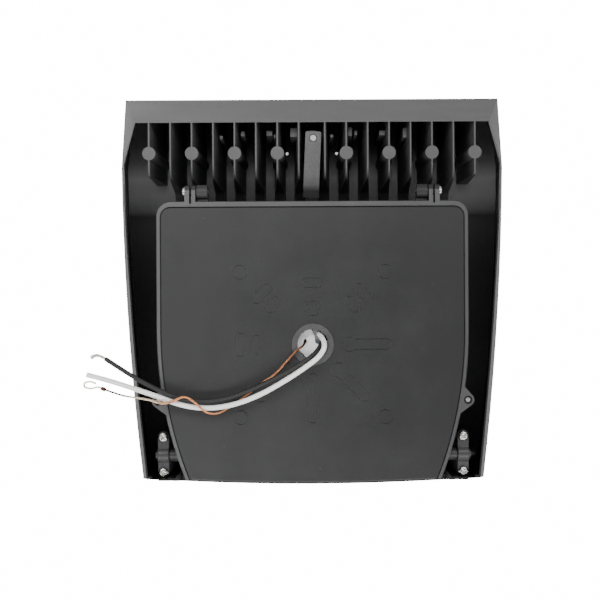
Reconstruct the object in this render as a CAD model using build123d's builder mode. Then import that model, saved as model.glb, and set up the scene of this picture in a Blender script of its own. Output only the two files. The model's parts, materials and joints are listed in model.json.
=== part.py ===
"""LED wall pack with a lamp head that tilts. All sizes are in millimetres.

+Z is up, the wall side faces -Y, the light leaves towards +Y. The origin is the
centre of the wiring hub, on the plane of the wall.
"""

import os
from math import cos, pi, radians, sin, tan

from build123d import *

# Wall plate and driver box: one outline, straight at the top and drawn in below.
PLATE_HALF = 97.0
PLATE_TOP = 89.2
PLATE_CORNER_R = 9.0
SIDE_TURN_Z = 8.0
FOOT_HALF = 79.6
FOOT_Z = -84.0
FOOT_SAG = 2.0
FOOT_SLOPE = 0.39

PANEL_INSET_SIDE = 3.2
PANEL_INSET_TOP = 4.2
PANEL_INSET_FOOT = 1.2
BAND_Y = 0.9
GROOVE_WIDTH = 0.9
GROOVE_HIDDEN = 0.6
GROOVE_Y = 2.2
PLATE_FRONT_Y = 5.0
PLATE_EDGE_R = 0.6
SEAL_INSET = 1.9
SEAL_WIDTH = 1.9
SEAL_Y = (3.6, 5.1)

# Knockouts for the usual junction boxes, scored into the wall face.
SCORE_WIDTH = 0.5
SCORE_DEPTH = 0.6
CORNER_KNOCKOUT_R = 4.35
CORNER_KNOCKOUT_AT = 45.0
TOP_KNOCKOUT_Z = (22.3, 38.1)
SMALL_BOX_R = 34.9
LARGE_BOX_R = 44.6
SLOT_WIDTH = 6.0
TOP_SLOT_LENGTH = 12.4
SMALL_SLOT_LENGTH = 11.4
LARGE_SLOT_LENGTH = 14.6
KEYHOLE_R = 4.5
KEYHOLE_SLOT = 6.4
KEYHOLE_INNER = 22.6
KEYHOLE_OUTER = 48.7

# Wiring hub and its lining ring.
HUB_BORE_R = 11.4
RING_OUTER_R = 13.1
RING_BORE_R = 9.5
RING_LIP_T = 0.8
RING_INNER_Y = 6.6

# Side ears and cover screws.
EAR_X = 96.3
EAR_Z = -34.9
EAR_R = 3.9
EAR_WEB = 10.0
EAR_HOLE_R = 2.1
EAR_COUNTERBORE_R = 2.6
EAR_COUNTERBORE_T = 1.0
BOX_EAR_T = 8.0
RETAINER_R = 3.0
RETAINER_Y = (5.7, 6.5)
COVER_SCREW_R = 1.85
COVER_SCREW_TIP_Y = 1.5
COVER_HEAD_R = 3.4
COVER_HEAD_T = 2.6

# Top hinges: a fork on the plate, a knuckle on the box.
HINGE_Y = 5.2
HINGE_Z = 95.5
LUG_R = 4.0
OUTER_LUG = (76.4, 79.4)
INNER_LUG = (72.6, 75.1)
LUG_FOOT_Z = 88.2
FORK_SLOT_Z = 87.8
KNUCKLE_NECK_Y = 5.7
KNUCKLE = (65.2, 71.9)
KNUCKLE_R = 4.3
HINGE_PIN_R = 1.95
HINGE_BORE_R = 2.0
HINGE_HEAD_R = 3.1
HINGE_HEAD_T = 1.9
HINGE_TIP_X = 63.8

# Driver box.
BOX_BACK_Y = 5.4
BOX_FRONT_Y = 66.0
BOX_INSET = 1.4
BOX_DRAFT = 3.4
BOX_WALL = 2.8
BOX_EDGE_R = 3.0

# Pivots: pins on the box, journals in split bearings on the lamp head.
PIVOT_Y = 28.0
PIVOT_Z = -72.2
PIVOT_BOSS = (75.5, 84.0)
PIVOT_BOSS_R = 7.0
PIVOT_SEAL = (84.0, 85.2)
PIVOT_COLLAR = (85.2, 92.3)
PIVOT_COLLAR_R = 4.05
JOURNAL_R = 3.5
BEARING_R = 3.57
PIVOT_END = (100.9, 101.6)
PIVOT_END_R = 2.9
PIVOT_THREAD_R = 3.0
PIVOT_THREAD_X = 70.0
PIVOT_NUT = (71.5, 75.5)
PIVOT_NUT_R = 5.8
PIVOT_BORE_R = 2.1
PIVOT_SEAL_R = 4.6

CAP_X = (92.9, 100.1)
CAP_R = 5.75
CAP_GAP = 0.2
CAP_FLANGE_T = 3.0
CAP_LOW_Z = -85.8
CAP_SCREW_Z = (-60.1, -82.9)
CAP_SCREW_R = 1.5
CAP_HEAD_R = 2.8
CAP_HEAD_T = 2.3
CAP_SCREW_LENGTH = 11.0

# Lamp head casting. Outlines at the rim (wall side) and at the flare, as X and Z.
RIM_Y = 18.0
FLARE_Y = 80.0
RIM_POINTS = ((113.4, 141.9), (120.6, 115.0), (115.4, 14.0), (106.4, -86.1))
FLARE_POINTS = ((129.6, 167.4), (132.6, 120.0), (128.6, 14.0), (118.6, -96.0))
RIM_SAG = 4.2
FLARE_SAG = 3.8
RIM_WALL = 0.9
FLOOR_WALL = 4.6
FLOOR_Y = (78.0, 82.0)
CASTING_FRONT_Y = 92.0
CAVITY_FOOT_Z = -84.4

FIN_COUNT = 8
FIN_FIRST_X = 8.35
FIN_PITCH = 13.66
FIN_TIP = 1.0
FIN_ROOT = 7.6
FIN_LOW_Z = -62.0
FIN_OUTER_LOW_Z = 107.4
FIN_HIGH_Z = 170.0
FIN_RIM_Z = 105.0
FIN_TURN_R = 9.0
FIN_FOOT = (66.0, 101.0)
FIN_STUB_Y = 70.0
BOSS_R = 4.25
BOSS_ROOT_R = 5.2
BOSS_Z = 121.5

TOWER_X = (92.7, 100.3)
TOWER_FOOT_Z = -89.0
SHELF_X = 88.2
CUT_Y = 52.0
CUT_TOP_Z = -89.4
POCKET_X = (92.6, 103.0)
POCKET_FOOT_Z = -86.1

# Keeper strap over the box.
STRAP_X = 0.9
STRAP_Z = 131.0
STRAP_TOP_Z = 135.3
STRAP_WIDTH = 10.1
STRAP_T = 1.6
STRAP_Y = 18.6
STRAP_BEND_Z = 98.8
STRAP_BEND_R = 5.0
STRAP_FOOT_Y = 26.6
STRAP_FOOT_EDGE_Z = 92.0
STRAP_TURN = 2.6
STRAP_CORNER_R = 1.3
KEEPER_BOSS_R = 5.0
KEEPER_BOSS_Y = 20.5
KEEPER_PIN_R = 1.5
KEEPER_BORE_R = 1.58
KEEPER_HEAD_R = 1.85
KEEPER_COUNTERBORE_R = 2.45
KEEPER_HEAD_T = 0.7
KEEPER_PIN_END_Y = 30.0
KEEPER_COLLAR_R = 2.6

# Light engine and front.
BOARD_SIZE = (196.0, 190.0)
BOARD_Z = 39.0
BOARD_T = 1.6
LED_COUNTS = (8, 7)
LED_PITCH = (23.0, 24.0)
LED_Z = 37.0
LED_SIZE = 3.5
LED_T = 0.7
OPTIC_Y = (84.6, 86.2)
OPTIC_R = 8.0
OPTIC_TOP_Y = 88.4
OPTIC_FOOT = 3.0
OPTIC_SIZE = (178.0, 164.0)
BOARD_SCREWS = ((17.2, 129.0), (93.5, 20.0), (93.5, -28.0))
BOARD_SCREW_R = 1.4
BOARD_SCREW_TIP_Y = 75.6
RIM_FACE = 7.0
LENS_INSET = 7.5
OPEN_INSET = 12.0
LENS_SHELF_Y = 88.0
LENS_SEAL_T = 1.5
LENS_T = 3.4
BEZEL_FRONT_Y = 96.4
BEZEL_OPEN_INSET = 12.5
BEZEL_EDGE_R = 2.0
BEZEL_SCREW_R = 1.5
BEZEL_HEAD_R = 2.8
BEZEL_HEAD_T = 1.8
BEZEL_SINK = 1.4
BEZEL_SCREW_DEPTH = 9.0
BEZEL_SCREWS = (
    (124.4, 161.8), (45.0, 163.2), (127.5, 66.0), (120.6, -45.0), (113.6, -90.8), (40.0, -94.8),
)
GLAND_R = 3.0

# Driver and the wiring between driver, pivot and board.
DRIVER_SIZE = (132.0, 30.0, 62.0)
DRIVER_AT = (-14.0, 39.0, 3.0)
DRIVER_FOOT = (8.0, 2.0)
DRIVER_POST_R = 4.5
DRIVER_SCREW_AT = (70.0, 20.0)
DRIVER_SCREW_R = 1.9
LEAD_R = 1.25
HEAD_LEAD_X = 104.6
CONNECTOR_SIZE = (6.0, 5.0, 8.0)
CONNECTOR_AT = (94.2, -46.0)
EARTH_POST = (-20.0, -50.0)
EARTH_HEAD_Y = 38.0

# Supply leads: diameters, and routes from inside the hub to the ends.
BLACK_D = 2.9
WHITE_D = 3.2
COPPER_D = 1.3
BLACK_ROUTE = (
    (6.2, 4.6, 3.0), (4.6, -3.4, -2.4), (-2.6, -8.6, -8.6), (-13.6, -9.2, -15.0),
    (-25.2, -7.8, -21.3), (-38.6, -6.6, -27.6), (-54.0, -6.2, -33.3), (-69.6, -6.0, -34.8),
    (-84.4, -6.0, -32.2), (-98.6, -6.0, -25.6), (-112.6, -6.0, -17.9), (-127.6, -6.0, -7.8),
)
WHITE_ROUTE = (
    (4.0, 4.6, 6.2), (8.0, -5.0, 1.8), (5.6, -9.4, -5.6), (-3.4, -9.6, -12.8),
    (-16.4, -8.6, -21.3), (-31.0, -7.4, -29.8), (-47.6, -6.8, -36.4), (-64.4, -6.4, -39.0),
    (-80.4, -6.2, -37.0), (-96.4, -6.2, -30.9), (-112.0, -6.2, -25.6), (-127.0, -6.2, -20.7),
    (-139.0, -6.2, -17.6),
)
COPPER_ROUTE = (
    (-4.6, 4.6, 2.6), (-5.2, -0.6, -0.4), (-10.0, -2.2, -3.2), (-16.4, -2.3, -10.4),
    (-23.4, -2.2, -18.4), (-32.4, -2.2, -23.8), (-40.2, -2.3, -30.4), (-49.0, -2.3, -36.6),
    (-58.4, -4.6, -42.6), (-65.6, -9.0, -41.4), (-71.8, -10.2, -34.8), (-78.6, -10.2, -30.2),
    (-85.6, -10.0, -34.0), (-92.6, -9.8, -35.4), (-100.2, -9.6, -32.8), (-109.0, -8.6, -31.6),
    (-118.4, -7.4, -30.2), (-127.6, -6.4, -26.8),
)
CRIMP_LENGTH = 2.6
CRIMP_R = 1.3
STRAND_R = 1.0
STRAND_LENGTH = 8.4
LOOP_START = 2.4
LOOP_ROUTE = (
    (-136.6, -6.3, -26.3), (-140.6, -6.3, -25.2), (-140.5, -6.4, -22.4), (-136.8, -6.5, -21.6),
    (-133.2, -6.6, -23.0),
)
LOOP_WIRE_R = 0.6
INNER_BLACK = (
    (6.2, 5.8, 3.0), (10.5, 15.0, 4.6), (34.0, 17.0, 8.0), (60.0, 16.0, 11.0),
    (80.0, 20.0, 12.0), (84.0, 38.0, 12.0), (66.0, 44.0, 12.0), (52.3, 42.0, 12.0),
)
INNER_WHITE = (
    (4.0, 5.8, 6.2), (6.8, 15.0, 9.4), (34.0, 17.0, 14.6), (60.0, 16.0, 18.0),
    (80.0, 20.0, 19.0), (84.0, 38.0, 19.0), (66.0, 44.0, 19.0), (52.3, 42.0, 19.0),
)
INNER_EARTH = (
    (-4.6, 5.8, 2.6), (-5.4, 13.5, -1.0), (-10.0, 18.0, -18.0), (-17.0, 22.0, -38.0),
    (-20.0, 37.8, -50.0),
)
OUTPUT_ROUTE = (
    (44.0, 39.0, -28.3), (44.0, 36.0, -46.0), (52.0, 28.0, -72.2), (101.6, 28.0, -72.2),
)
HEAD_EXITS = ((0, 2.5), (1, 2.7))
HEAD_ROUTE = (
    (101.9, 28.0, -72.2), (104.6, 28.0, -72.2), (104.6, 86.0, -72.2), (97.4, 86.2, -62.0),
    (94.2, 86.2, -50.3),
)


def facing_wall(y):
    """The X-Z plane at depth y. A negative amount extrudes away from the wall."""
    return Plane(origin=(0, y, 0), x_dir=(1, 0, 0), z_dir=(0, -1, 0))


def facing_side(x):
    """The Y-Z plane at a distance x to the side, drawn with Y across and Z up."""
    return Plane(origin=(x, 0, 0), x_dir=(0, 1, 0), z_dir=(1, 0, 0))


def side_spans(span):
    """A span of distances from the middle, as (lowest x, length) on the right and left."""
    near, far = span
    return ((near, far - near), (-far, far - near))


def shield(side, top, foot, mode=Mode.ADD):
    """Face of the plate's outline, drawn in by side, top and foot."""
    half, crown = PLATE_HALF - side, PLATE_TOP - top
    corner = max(PLATE_CORNER_R - side, 2.0)
    foot_half = FOOT_HALF - 1.07 * side + FOOT_SLOPE * foot
    foot_z = FOOT_Z + foot
    with BuildLine() as outline:
        Line((0, crown), (half - corner, crown))
        TangentArc((half - corner, crown), (half, crown - corner), tangent=(1, 0))
        Line((half, crown - corner), (half, SIDE_TURN_Z))
        TangentArc((half, SIDE_TURN_Z), (foot_half, foot_z), tangent=(0, -1))
        ThreePointArc(
            (foot_half, foot_z),
            (foot_half / 2, foot_z - 0.75 * FOOT_SAG),
            (0, foot_z - FOOT_SAG),
        )
        mirror(about=Plane.YZ)
    make_face(outline.edges(), mode=mode)


def head_outline(share, inset, foot_z=None, mode=Mode.ADD):
    """Face of the head's outline between rim (share 0) and flare (share 1), drawn in by inset."""
    top, wide, middle, foot = [
        (a[0] + share * (b[0] - a[0]) - inset, a[1] + share * (b[1] - a[1]))
        for a, b in zip(RIM_POINTS, FLARE_POINTS)
    ]
    top = (top[0], top[1] - inset)
    wide = (wide[0], wide[1] - 0.4 * inset)
    foot = (foot[0], foot[1] + inset if foot_z is None else foot_z)
    sag = RIM_SAG + share * (FLARE_SAG - RIM_SAG)
    with BuildLine() as outline:
        Line((0, top[1]), top)
        Line(top, wide)
        ThreePointArc(wide, middle, foot)
        ThreePointArc(foot, (foot[0] / 2, foot[1] - 0.75 * sag), (0, foot[1] - sag))
        mirror(about=Plane.YZ)
    make_face(outline.edges(), mode=mode)


def keyhole(angle, grow, mode):
    """Keyhole that points away from the hub at an angle, grown outward by grow."""
    reach = KEYHOLE_OUTER - KEYHOLE_SLOT / 2 - KEYHOLE_INNER
    middle = KEYHOLE_INNER + reach / 2
    turn = radians(angle)
    with Locations((KEYHOLE_INNER * cos(turn), KEYHOLE_INNER * sin(turn))):
        Circle(KEYHOLE_R + grow, mode=mode)
    with Locations(Location((middle * cos(turn), middle * sin(turn), 0), (0, 0, angle))):
        SlotCenterToCenter(reach, KEYHOLE_SLOT + 2 * grow, mode=mode)


def knockouts(grow, mode=Mode.ADD):
    """All knockout shapes of the wall face, grown outward by grow."""
    with GridLocations(2 * CORNER_KNOCKOUT_AT, 2 * CORNER_KNOCKOUT_AT, 2, 2):
        Circle(CORNER_KNOCKOUT_R + grow, mode=mode)
    with Locations((0, TOP_KNOCKOUT_Z[0])):
        Circle(KEYHOLE_R + grow, mode=mode)
    with Locations((0, TOP_KNOCKOUT_Z[1])):
        SlotOverall(TOP_SLOT_LENGTH + 2 * grow, SLOT_WIDTH + 2 * grow, mode=mode)
    for angle in (45, 135, 180):
        turn = radians(angle)
        for distance, length in (
            (LARGE_BOX_R, LARGE_SLOT_LENGTH),
            (SMALL_BOX_R, SMALL_SLOT_LENGTH),
        ):
            at = (distance * cos(turn), distance * sin(turn), 0)
            with Locations(Location(at, (0, 0, angle + 90))):
                SlotOverall(length + 2 * grow, SLOT_WIDTH + 2 * grow, mode=mode)
    for angle in (0, 225, 270, 315):
        keyhole(angle, grow, mode)


def ear(side):
    """One side ear with its web and its hole."""
    with BuildLine() as web:
        CenterArc((side * EAR_X, EAR_Z), EAR_R, 0, 360)
        Line(
            (side * (EAR_X - 3.5), EAR_Z + EAR_WEB),
            (side * (EAR_X - 9.0), EAR_Z - EAR_WEB - 1.5),
        )
    make_hull(web.edges())
    with Locations((side * EAR_X, EAR_Z)):
        Circle(EAR_HOLE_R, mode=Mode.SUBTRACT)


def route_radii(points, name, tight):
    """The largest even radii for a route, with tighter ones at the corners that need them."""
    spots = [Vector(*p) for p in points]
    radii = []
    for before, at, after in zip(spots, spots[1:], spots[2:]):
        inward, outward = at - before, after - at
        turn = radians(inward.get_angle(outward))
        radii.append(0.45 * min(inward.length, outward.length) / tan(turn / 2))
    for corner, radius in tight:
        radii[corner] = radius
    print(name, "radii", [round(r, 1) for r in radii])
    return radii


def route_line(points, name, tight=()):
    """A route as straight runs and tangent arcs."""
    with BuildLine() as line:
        FilletPolyline(*points, radius=route_radii(points, name, tight))
    return line.wires()[0]


def print_tube(tube, path, diameter, name):
    """Print a tube's length, and its volume as a share of section times length."""
    share = tube.volume / (pi * diameter**2 / 4 * path.length)
    print(name, "length", round(path.length, 1), "volume share", round(share, 4))


def placed(piece, spots, direction):
    """Copies of a piece made along +Z, turned so that it points in a direction."""
    return [Plane(origin=spot, z_dir=direction).location * piece for spot in spots]


def on_both_sides(x, *rest):
    """One spot to the right and its mirror image to the left."""
    return [(x, *rest), (-x, *rest)]


def screw(shank_r, length, head_r, head_t):
    """Cross-recess pan screw along +Z with its seat at the origin."""
    low = (Align.CENTER, Align.CENTER, Align.MIN)
    high = (Align.CENTER, Align.CENTER, Align.MAX)
    head = Cylinder(head_r, head_t, align=high)
    crown = head.edges().filter_by(GeomType.CIRCLE).sort_by(Axis.Z)[0]
    head = head.fillet(0.55 * head_t, [crown])
    slot = Pos(0, 0, -head_t) * Box(1.25 * head_r, 0.3 * head_r, 1.1 * head_t, align=Align.CENTER)
    shank = Cylinder(shank_r, length, align=low)
    tip = shank.edges().filter_by(GeomType.CIRCLE).sort_by(Axis.Z)[-1]
    shank = shank.chamfer(0.25 * shank_r, None, [tip])
    return head - slot - Rot(0, 0, 90) * slot + shank


DRIVER_FRONT_Y = DRIVER_AT[1] + DRIVER_SIZE[1] / 2
driver_spots = [
    (DRIVER_AT[0] + side * DRIVER_SCREW_AT[0], DRIVER_AT[2] + rise * DRIVER_SCREW_AT[1])
    for side in (-1, 1)
    for rise in (-1, 1)
]

os.makedirs("parts", exist_ok=True)

# Wall plate: panel, band, groove, ears, hinge forks and scored knockouts.
with BuildPart() as wall_plate:
    with BuildSketch(facing_wall(BAND_Y)):
        shield(0, 0, 0)
    extrude(amount=BAND_Y - PLATE_FRONT_Y)
    band_face = wall_plate.faces().filter_by(Axis.Y).sort_by(Axis.Y)[0]
    fillet(band_face.outer_wire().edges(), PLATE_EDGE_R)
    for side in (-1, 1):
        with BuildSketch(facing_wall(BAND_Y)):
            ear(side)
        extrude(amount=BAND_Y - PLATE_FRONT_Y)
        with BuildSketch(facing_wall(BAND_Y)):
            with Locations((side * EAR_X, EAR_Z)):
                Circle(EAR_COUNTERBORE_R)
        extrude(amount=-EAR_COUNTERBORE_T, mode=Mode.SUBTRACT)
    groove_outer = (PANEL_INSET_SIDE - GROOVE_WIDTH, PANEL_INSET_TOP - GROOVE_WIDTH)
    groove_inner = (PANEL_INSET_SIDE + GROOVE_HIDDEN, PANEL_INSET_TOP + GROOVE_HIDDEN)
    with BuildSketch(facing_wall(0)):
        shield(*groove_outer, -4.0)
        shield(*groove_inner, -5.0, mode=Mode.SUBTRACT)
    extrude(amount=-GROOVE_Y, mode=Mode.SUBTRACT)
    with BuildSketch(facing_wall(0)):
        shield(PANEL_INSET_SIDE, PANEL_INSET_TOP, PANEL_INSET_FOOT)
    extrude(amount=-PLATE_FRONT_Y)
    for start, width in (*side_spans(OUTER_LUG), *side_spans(INNER_LUG)):
        with BuildSketch(facing_side(start)):
            with Locations((HINGE_Y, HINGE_Z)):
                Circle(LUG_R)
            with BuildLine():
                Polyline(
                    (BAND_Y, LUG_FOOT_Z),
                    (PLATE_FRONT_Y, LUG_FOOT_Z),
                    (HINGE_Y + LUG_R, HINGE_Z),
                    (HINGE_Y - LUG_R, HINGE_Z),
                    (BAND_Y, HINGE_Z - LUG_R),
                    close=True,
                )
            make_face()
            with Locations((HINGE_Y, HINGE_Z)):
                Circle(HINGE_BORE_R, mode=Mode.SUBTRACT)
        extrude(amount=width)
    for start, width in side_spans((INNER_LUG[1], OUTER_LUG[0])):
        with Locations((start, 0, FORK_SLOT_Z)):
            Box(
                width,
                PLATE_FRONT_Y,
                HINGE_Z,
                align=(Align.MIN, Align.MIN, Align.MIN),
                mode=Mode.SUBTRACT,
            )
    with BuildSketch(facing_wall(0)):
        knockouts(SCORE_WIDTH / 2)
        knockouts(-SCORE_WIDTH / 2, mode=Mode.SUBTRACT)
    extrude(amount=-SCORE_DEPTH, mode=Mode.SUBTRACT)
    with BuildSketch(facing_wall(0)):
        Circle(HUB_BORE_R)
    extrude(amount=-PLATE_FRONT_Y, mode=Mode.SUBTRACT)
    with BuildSketch(facing_wall(0)):
        Circle(RING_OUTER_R + 0.15)
    extrude(amount=-RING_LIP_T, mode=Mode.SUBTRACT)
    with BuildSketch(facing_wall(SEAL_Y[0])):
        shield(SEAL_INSET, SEAL_INSET, SEAL_INSET)
        seal_inner = SEAL_INSET + SEAL_WIDTH
        shield(seal_inner, seal_inner, seal_inner, mode=Mode.SUBTRACT)
    extrude(amount=SEAL_Y[0] - PLATE_FRONT_Y, mode=Mode.SUBTRACT)
wall_plate.part.label = "wall_plate"
export_step(wall_plate.part, "parts/wall_plate.step")

# Seal between the plate and the driver box.
with BuildPart() as plate_seal:
    with BuildSketch(facing_wall(SEAL_Y[0])):
        shield(SEAL_INSET, SEAL_INSET, SEAL_INSET)
        shield(seal_inner, seal_inner, seal_inner, mode=Mode.SUBTRACT)
    extrude(amount=SEAL_Y[0] - SEAL_Y[1])
plate_seal.part.label = "plate_seal"
export_step(plate_seal.part, "parts/plate_seal.step")

# Lining ring of the hub.
with BuildPart() as hub_ring:
    with BuildSketch(facing_wall(0)):
        Circle(RING_OUTER_R)
        Circle(RING_BORE_R, mode=Mode.SUBTRACT)
    extrude(amount=-RING_LIP_T)
    with BuildSketch(facing_wall(0)):
        Circle(HUB_BORE_R - 0.1)
        Circle(RING_BORE_R, mode=Mode.SUBTRACT)
    extrude(amount=-RING_INNER_Y)
    bore_edges = hub_ring.edges().filter_by(GeomType.CIRCLE).sort_by(SortBy.RADIUS)[:2]
    fillet(bore_edges.sort_by(Axis.Y)[0], 0.4)
hub_ring.part.label = "hub_ring"
export_step(hub_ring.part, "parts/hub_ring.step")

# Hinge screws: each holds a fork and runs through the knuckle.
hinge_screw = screw(HINGE_PIN_R, OUTER_LUG[1] - HINGE_TIP_X, HINGE_HEAD_R, HINGE_HEAD_T)
with BuildPart() as hinge_screws:
    add(placed(hinge_screw, [(OUTER_LUG[1], HINGE_Y, HINGE_Z)], (-1, 0, 0)))
    add(placed(hinge_screw, [(-OUTER_LUG[1], HINGE_Y, HINGE_Z)], (1, 0, 0)))
hinge_screws.part.label = "hinge_screws"
export_step(hinge_screws.part, "parts/hinge_screws.step")

# Supply leads.
black_path = route_line(BLACK_ROUTE, "black lead")
with BuildPart() as lead_black:
    with BuildSketch(Plane(origin=black_path @ 0, z_dir=black_path % 0)):
        Circle(BLACK_D / 2)
    sweep(path=black_path)
print_tube(lead_black.part, black_path, BLACK_D, "black lead")
lead_black.part.label = "lead_black"
export_step(lead_black.part, "parts/lead_black.step")

# Stripped strands at the end of the black lead.
with BuildPart() as black_strands:
    with BuildSketch(Plane(origin=black_path @ 1, z_dir=black_path % 1)):
        Circle(STRAND_R)
    extrude(amount=STRAND_LENGTH, taper=2.0)
black_strands.part.label = "black_strands"
export_step(black_strands.part, "parts/black_strands.step")

white_path = route_line(WHITE_ROUTE, "white lead")
with BuildPart() as lead_white:
    with BuildSketch(Plane(origin=white_path @ 0, z_dir=white_path % 0)):
        Circle(WHITE_D / 2)
    sweep(path=white_path)
print_tube(lead_white.part, white_path, WHITE_D, "white lead")
lead_white.part.label = "lead_white"
export_step(lead_white.part, "parts/lead_white.step")

copper_path = route_line(COPPER_ROUTE, "copper lead")
with BuildPart() as lead_copper:
    with BuildSketch(Plane(origin=copper_path @ 0, z_dir=copper_path % 0)):
        Circle(COPPER_D / 2)
    sweep(path=copper_path)
print_tube(lead_copper.part, copper_path, COPPER_D, "copper lead")
lead_copper.part.label = "lead_copper"
export_step(lead_copper.part, "parts/lead_copper.step")

# Crimp on the end of the earth lead, and the loop that it holds.
crimp_end = copper_path @ 1 + (copper_path % 1) * CRIMP_LENGTH
with BuildPart() as earth_crimp:
    with BuildSketch(Plane(origin=copper_path @ 1, z_dir=copper_path % 1)):
        Circle(CRIMP_R)
    extrude(amount=CRIMP_LENGTH)
    fillet(earth_crimp.edges().filter_by(GeomType.CIRCLE), 0.3)
earth_crimp.part.label = "earth_crimp"
export_step(earth_crimp.part, "parts/earth_crimp.step")

loop_turn = crimp_end + (copper_path % 1) * LOOP_START
loop_path = route_line((tuple(crimp_end), tuple(loop_turn), *LOOP_ROUTE), "earth loop")
with BuildPart() as earth_loop:
    with BuildSketch(Plane(origin=loop_path @ 0, z_dir=loop_path % 0)):
        Circle(LOOP_WIRE_R)
    sweep(path=loop_path)
earth_loop.part.label = "earth_loop"
export_step(earth_loop.part, "parts/earth_loop.step")


def box_inset(y):
    """Inset of the box's outside at depth y."""
    return BOX_INSET + BOX_DRAFT * (y - BOX_BACK_Y) / (BOX_FRONT_Y - BOX_BACK_Y)


# Driver box: a drafted shell, open towards the wall, with knuckles, ears and bosses.
with BuildPart() as driver_box:
    for y in (BOX_BACK_Y, BOX_FRONT_Y):
        with BuildSketch(facing_wall(y)):
            shield(box_inset(y), box_inset(y), box_inset(y))
    loft(ruled=True)
    front_face = driver_box.faces().filter_by(Axis.Y).sort_by(Axis.Y)[-1]
    fillet(front_face.outer_wire().edges(), BOX_EDGE_R)
    for start, width in side_spans((PIVOT_BOSS[1] - 6.0, PIVOT_BOSS[1])):
        with BuildSketch(facing_side(start)):
            with Locations((PIVOT_Y, PIVOT_Z)):
                Circle(PIVOT_BOSS_R)
        extrude(amount=width)
    for side in (-1, 1):
        with BuildSketch(facing_wall(BOX_BACK_Y)):
            ear(side)
        extrude(amount=-BOX_EAR_T)
    for start, width in side_spans(KNUCKLE):
        with BuildSketch(facing_side(start)):
            with Locations((HINGE_Y, HINGE_Z)):
                Circle(KNUCKLE_R)
            with BuildLine():
                Polyline(
                    (KNUCKLE_NECK_Y, PLATE_TOP - BOX_INSET - 1.0),
                    (KNUCKLE_NECK_Y, HINGE_Z),
                    (HINGE_Y + KNUCKLE_R, HINGE_Z),
                    (HINGE_Y + 2 * KNUCKLE_R, PLATE_TOP - BOX_INSET - 1.0),
                    close=True,
                )
            make_face()
        extrude(amount=width)
    inner_front = BOX_FRONT_Y - BOX_WALL
    for y in (BOX_BACK_Y, inner_front):
        with BuildSketch(facing_wall(y)):
            inset = box_inset(y) + BOX_WALL
            shield(inset, inset, inset)
    loft(ruled=True, mode=Mode.SUBTRACT)
    for start, width in side_spans(PIVOT_BOSS):
        with BuildSketch(facing_side(start)):
            with Locations((PIVOT_Y, PIVOT_Z)):
                Circle(PIVOT_BOSS_R)
        extrude(amount=width)
        with BuildSketch(facing_side(start)):
            with Locations((PIVOT_Y, PIVOT_Z)):
                Circle(PIVOT_THREAD_R)
        extrude(amount=width, mode=Mode.SUBTRACT)
    for start, width in side_spans(KNUCKLE):
        with BuildSketch(facing_side(start)):
            with Locations((HINGE_Y, HINGE_Z)):
                Circle(HINGE_BORE_R)
        extrude(amount=width, mode=Mode.SUBTRACT)
    with BuildSketch(facing_wall(BOX_BACK_Y)):
        with Locations(*on_both_sides(EAR_X, EAR_Z)):
            Circle(RETAINER_R + 0.2)
    extrude(amount=BOX_BACK_Y - RETAINER_Y[1] - 0.1, mode=Mode.SUBTRACT)
    with BuildSketch(facing_wall(DRIVER_FRONT_Y)):
        with Locations(*driver_spots):
            Circle(DRIVER_POST_R)
            Circle(DRIVER_SCREW_R, mode=Mode.SUBTRACT)
    extrude(amount=DRIVER_FRONT_Y - inner_front)
    with BuildSketch(facing_wall(EARTH_HEAD_Y + 2.5)):
        with Locations(EARTH_POST):
            Circle(DRIVER_POST_R)
            Circle(DRIVER_SCREW_R, mode=Mode.SUBTRACT)
    extrude(amount=EARTH_HEAD_Y + 2.5 - inner_front)
driver_box.part.label = "driver_box"
export_step(driver_box.part, "parts/driver_box.step")

# Cover screws in the ears, and the rings that keep them in the box.
ear_seat_y = BOX_BACK_Y + BOX_EAR_T
cover_screw = screw(COVER_SCREW_R, ear_seat_y - COVER_SCREW_TIP_Y, COVER_HEAD_R, COVER_HEAD_T)
with BuildPart() as cover_screws:
    add(placed(cover_screw, on_both_sides(EAR_X, ear_seat_y, EAR_Z), (0, -1, 0)))
cover_screws.part.label = "cover_screws"
export_step(cover_screws.part, "parts/cover_screws.step")

with BuildPart() as screw_retainers:
    with BuildSketch(facing_wall(RETAINER_Y[0])):
        with Locations(*on_both_sides(EAR_X, EAR_Z)):
            Circle(RETAINER_R)
            Circle(COVER_SCREW_R, mode=Mode.SUBTRACT)
    extrude(amount=RETAINER_Y[0] - RETAINER_Y[1])
screw_retainers.part.label = "screw_retainers"
export_step(screw_retainers.part, "parts/screw_retainers.step")

# Pivot pins: the right one is hollow for the lead to the head.
with BuildPart() as pivot_pins:
    for span, radius in (
        ((PIVOT_THREAD_X, PIVOT_COLLAR[0]), PIVOT_THREAD_R),
        (PIVOT_COLLAR, PIVOT_COLLAR_R),
        ((PIVOT_COLLAR[1], PIVOT_END[0]), JOURNAL_R),
        (PIVOT_END, PIVOT_END_R),
    ):
        for start, width in side_spans(span):
            with BuildSketch(facing_side(start)):
                with Locations((PIVOT_Y, PIVOT_Z)):
                    Circle(radius)
            extrude(amount=width)
    with BuildSketch(facing_side(PIVOT_THREAD_X)):
        with Locations((PIVOT_Y, PIVOT_Z)):
            Circle(PIVOT_BORE_R)
    extrude(amount=PIVOT_END[1] - PIVOT_THREAD_X, mode=Mode.SUBTRACT)
pivot_pins.part.label = "pivot_pins"
export_step(pivot_pins.part, "parts/pivot_pins.step")

with BuildPart() as pivot_nuts:
    for start, width in side_spans(PIVOT_NUT):
        with BuildSketch(facing_side(start)):
            with Locations((PIVOT_Y, PIVOT_Z)):
                RegularPolygon(PIVOT_NUT_R, 6)
                Circle(PIVOT_THREAD_R, mode=Mode.SUBTRACT)
        extrude(amount=width)
pivot_nuts.part.label = "pivot_nuts"
export_step(pivot_nuts.part, "parts/pivot_nuts.step")

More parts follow.
